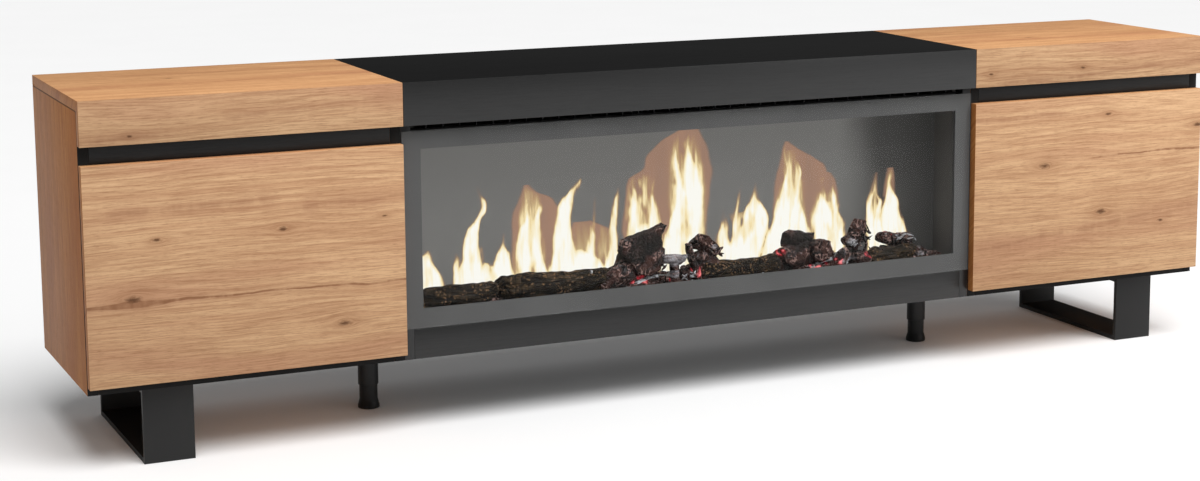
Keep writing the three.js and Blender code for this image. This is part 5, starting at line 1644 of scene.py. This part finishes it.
    def build_ash(self) -> None:
        """Build the crusts of ash, the twigs and the chips, and the burnt sticks."""
        shape, sticks, draw = bmesh.new(), bmesh.new(), self.rng.uniform
        for crust in CRUSTS:
            self.add_crust(shape, crust)
        self.strew(shape, TWIGS)
        for x, z in CHIP_SPOTS:
            for _ in range(2):
                place = Vector((x + draw(-2, 2), CHIP_FRONT, z + draw(-1, 1)))
                size = Vector((draw(1.6, 2.8), 1.2, draw(1.2, 2.2)))
                self.add_lump(shape, place * MM, size * MM, Euler((0.0, draw(0, 3), 0.0)))
        self.strew(sticks, STICKS)
        self.char("burnt_sticks", sticks, "sticks", 50.0)
        ash = AshCoat().build("ash", self.workshop.effects)
        self.workshop.finish("ash_and_twigs", shape, ash, Slot.EMBERS, smooth=50.0)

    def build_chunks(self) -> None:
        """Build the chunks with flat sides that lie on the moulded ones."""
        shape = bmesh.new()
        for chunk in CHUNKS:
            corners = [shape.verts.new((x * MM, chunk.front * MM, z * MM)) for x, z in chunk.outline]
            made = bmesh.ops.extrude_face_region(shape, geom=[shape.faces.new(corners)])["geom"]
            back = [v for v in made if isinstance(v, bmesh.types.BMVert)]
            bmesh.ops.translate(shape, verts=back, vec=(0.0, chunk.depth * MM, 0.0))
        bmesh.ops.recalc_face_normals(shape, faces=shape.faces)
        bmesh.ops.bevel(
            shape, geom=shape.edges[:], offset=1.2 * MM, affect="EDGES", segments=1, profile=0.5, material=-1
        )
        bmesh.ops.triangulate(shape, faces=shape.faces)
        for _ in range(2):
            self.refine(shape)
            bmesh.ops.triangulate(shape, faces=shape.faces)
        self.roughen(shape, size=7 * MM, reach=1.3 * MM, stretch=(1.6, 1.0, 1.0))
        self.char("charred_chunks", shape, "chunks", 45.0)

    def add_glow(self, shape: Shape) -> None:
        """Mark how red, how pale and how sooty each point is.

        Args:
            shape: The mesh to mark.
        """
        tables = {"glow": GLOWS, "pale": PALE, "soot": SOOT}
        for name in tables:
            shape.verts.layers.float.new(name)
        for name, spots in tables.items():
            layer = shape.verts.layers.float[name]
            for vert in shape.verts:
                x, z = vert.co.x / MM, vert.co.z / MM
                vert[layer] = max(0.0, *(spot.share(x, z) for spot in spots))

    def build_flames(self) -> None:
        """Build one sheet of flame light before the screen, with its heat at every point."""
        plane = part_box("flame_screen")[0].y - self.screen_gap
        left, right, bottom, top = self.flame_window
        columns, rows = round((right - left) / self.flame_step), round((top - bottom) / self.flame_step)
        shape = bmesh.new()
        floats = shape.verts.layers.float
        for name in ("fire_heat", "fire_haze"):
            floats.new(name)
        heat, haze = floats["fire_heat"], floats["fire_haze"]
        bmesh.ops.create_grid(shape, x_segments=columns, y_segments=rows, size=0.5)
        levels: dict[int, list] = {}
        for vert in shape.verts:
            levels.setdefault(round((vert.co.y + 0.5) * rows), []).append(vert)
        for level, verts in levels.items():
            z = bottom + (top - bottom) * level / rows
            lit = [(tongue, tongue.edges(z), tongue.cooling(z)) for tongue in FLAMES if tongue.edges(z)]
            dim = [(tongue, tongue.edges(z), 1.0) for tongue in HAZES if tongue.edges(z)]
            for vert in verts:
                x = left + (right - left) * (vert.co.x + 0.5)
                sway = 2.2 * noise.noise(Vector((x / 16, z / 26, 0.0)))
                sway += 0.9 * noise.noise(Vector((x / 5, z / 12, 4.0)))
                for layer, tongues in ((heat, lit), (haze, dim)):
                    vert[layer] = max((t.strength(x + sway, e, c) for t, e, c in tongues), default=0.0)
                vert.co = Vector((x * MM, plane, z * MM))
        dark = [v for v in shape.verts if v[heat] <= 0.0 and v[haze] <= 0.0]
        bmesh.ops.delete(shape, geom=dark, context="VERTS")
        for face in shape.faces:
            if face.normal.y > 0:
                face.normal_flip()
        light = FlameLight().build("flame_light", self.workshop.effects)
        self.workshop.finish("flame_light", shape, light, Slot.SCREEN, smooth=180.0)

    def build_works(self) -> None:
        """Dress the works behind the screen and at the back."""
        for node in ("ember_light_strip", "flame_light_strip"):
            self.workshop.paint(node, self.workshop.coats[Slot.LIGHT_BOARD])
        self.workshop.paint("heater_element", self.workshop.coats[Slot.ZINC])
        for node, slot, body, width in (
            ("flicker_spindle", Slot.BRIGHT_STEEL, "flicker_spindle", 0.0),
            ("flicker_motor", Slot.ZINC, "cabinet", 0.0),
            ("blower_motor", Slot.ZINC, "cabinet", 0.0),
            ("blower_housing", Slot.GREY_STEEL, "cabinet", 0.0),
            ("blower_impeller", Slot.ZINC, "blower_impeller", 0.0),
            ("power_inlet", Slot.BLACK_PLASTIC, "cabinet", 0.4 * MM),
            ("switch_rocker", Slot.BLACK_PLASTIC, "switch_rocker", 0.3 * MM),
        ):
            self.workshop.dressed(node, slot, body=body, width=width)


@dataclass
class Studio:
    """Plain pale floor, soft lamps and the camera of the photograph, in metres, degrees and watts.

    Args:
        effects: The shared node groups.
        eye: Where the camera stands.
        yaw: How far it is turned to the right.
        pitch: How far it looks down.
        lens: Its focal length, in millimetres.
        sensor: The width of its sensor, in millimetres.
        shift: How far its picture is shifted, as shares of its width.
        floor_size: Half the floor's width.
        ambient: The strength of the world's light.
        mirrored: What a reflection sees of it.
        overhead: The strength of the lamp above.
        overhead_spread: The angle that it fills.
        overhead_from: The way that its light comes from.
        side_lamp: Where the lamp at the right stands.
        side_target: What it faces.
        side_size: Its width and height.
        side_power: Its power.
    """

    effects: SharedEffects
    eye: Triple = (-1.63286, -3.46772, 0.98501)
    yaw: float = 26.394
    pitch: float = 9.006
    lens: float = 68.766
    sensor: float = 36.0
    shift: Pair = (-0.09, -0.07)
    floor_size: float = 30.0
    ambient: float = 0.28
    mirrored: float = 0.03
    overhead: float = 2.9
    overhead_spread: float = 40.0
    overhead_from: Triple = (0.08, -0.54, 1.0)
    side_lamp: Triple = (2.6, -2.4, 2.0)
    side_target: Triple = (0.6, 0.0, 0.3)
    side_size: Pair = (2.4, 1.6)
    side_power: float = 40.0

    def build(self) -> None:
        """Build the camera, the floor, the world and the lamps."""
        self.build_camera()
        self.build_floor()
        self.build_world()
        sun = self.add_lamp("overhead", "SUN", self.overhead, NO_SHIFT, -Vector(self.overhead_from))
        sun.angle = math.radians(self.overhead_spread)
        aim = Vector(self.side_target) - Vector(self.side_lamp)
        side = self.add_lamp("right", "AREA", self.side_power, self.side_lamp, aim)
        side.shape = "RECTANGLE"
        side.size, side.size_y = self.side_size
        bpy.context.scene.view_settings.view_transform = "Standard"

    def link(self, name: str, data: bpy.types.ID) -> bpy.types.Object:
        """Put an object in the scene.

        Args:
            name: Its name.
            data: Its mesh, camera or lamp.

        Returns:
            The object.
        """
        thing = bpy.data.objects.new(name, data)
        bpy.context.scene.collection.objects.link(thing)
        return thing

    def build_camera(self) -> None:
        """Set the camera at the photograph's place."""
        data = bpy.data.cameras.new("camera")
        data.lens, data.sensor_width = self.lens, self.sensor
        data.shift_x, data.shift_y = self.shift
        camera = self.link("camera", data)
        camera.location = self.eye
        camera.rotation_euler = (math.radians(90.0 - self.pitch), 0.0, math.radians(-self.yaw))
        bpy.context.scene.camera = camera

    def build_floor(self) -> None:
        """Build the floor."""
        shape = bmesh.new()
        bmesh.ops.create_grid(shape, x_segments=4, y_segments=4, size=self.floor_size)
        mesh = bpy.data.meshes.new("floor")
        shape.to_mesh(mesh)
        shape.free()
        self.link("floor", mesh)
        mesh.materials.append(PaleFloor().build("pale_floor", self.effects))

    def build_world(self) -> None:
        """White for the camera, and soft even light for everything else."""
        world = bpy.context.scene.world = bpy.data.worlds.new("studio")
        world.use_nodes = True
        g = Graph(world.node_tree)
        path = g.add("LightPath").outputs
        straight = g.most(path["Is Camera Ray"], path["Is Transmission Ray"])
        strength = g.mix(path["Is Glossy Ray"], (self.ambient,) * 3, (self.mirrored,) * 3)
        inputs = world.node_tree.nodes["Background"].inputs
        g.feed(inputs["Color"], WHITE)
        g.feed(inputs["Strength"], g.mix(straight, strength, WHITE))

    def add_lamp(self, name: str, kind: str, power: float, place: Triple, aim: Vector) -> bpy.types.Light:
        """Add one soft lamp.

        Args:
            name: Its name.
            kind: Its type.
            power: Its strength.
            place: Where it stands.
            aim: The way that it faces.

        Returns:
            Its data.
        """
        data = bpy.data.lights.new(name, kind)
        data.energy = power
        lamp = self.link(name, data)
        lamp.location = place
        lamp.rotation_euler = aim.to_track_quat("-Z", "Y").to_euler()
        return data


def main() -> None:
    """Dress each sub-assembly in order, and light the whole."""
    logging.basicConfig(level=logging.INFO, format="%(name)s: %(message)s")
    workshop = Workshop()
    EndCabinet(workshop, "left", 1.0).build()
    EndCabinet(workshop, "right", 4.0).build()
    CentreModule(workshop).build()
    Undercarriage(workshop).build()
    Fire(workshop).build()
    Studio(workshop.effects).build()
    log.info("%d pieces made", workshop.made)


if __name__ == "__main__":
    main()
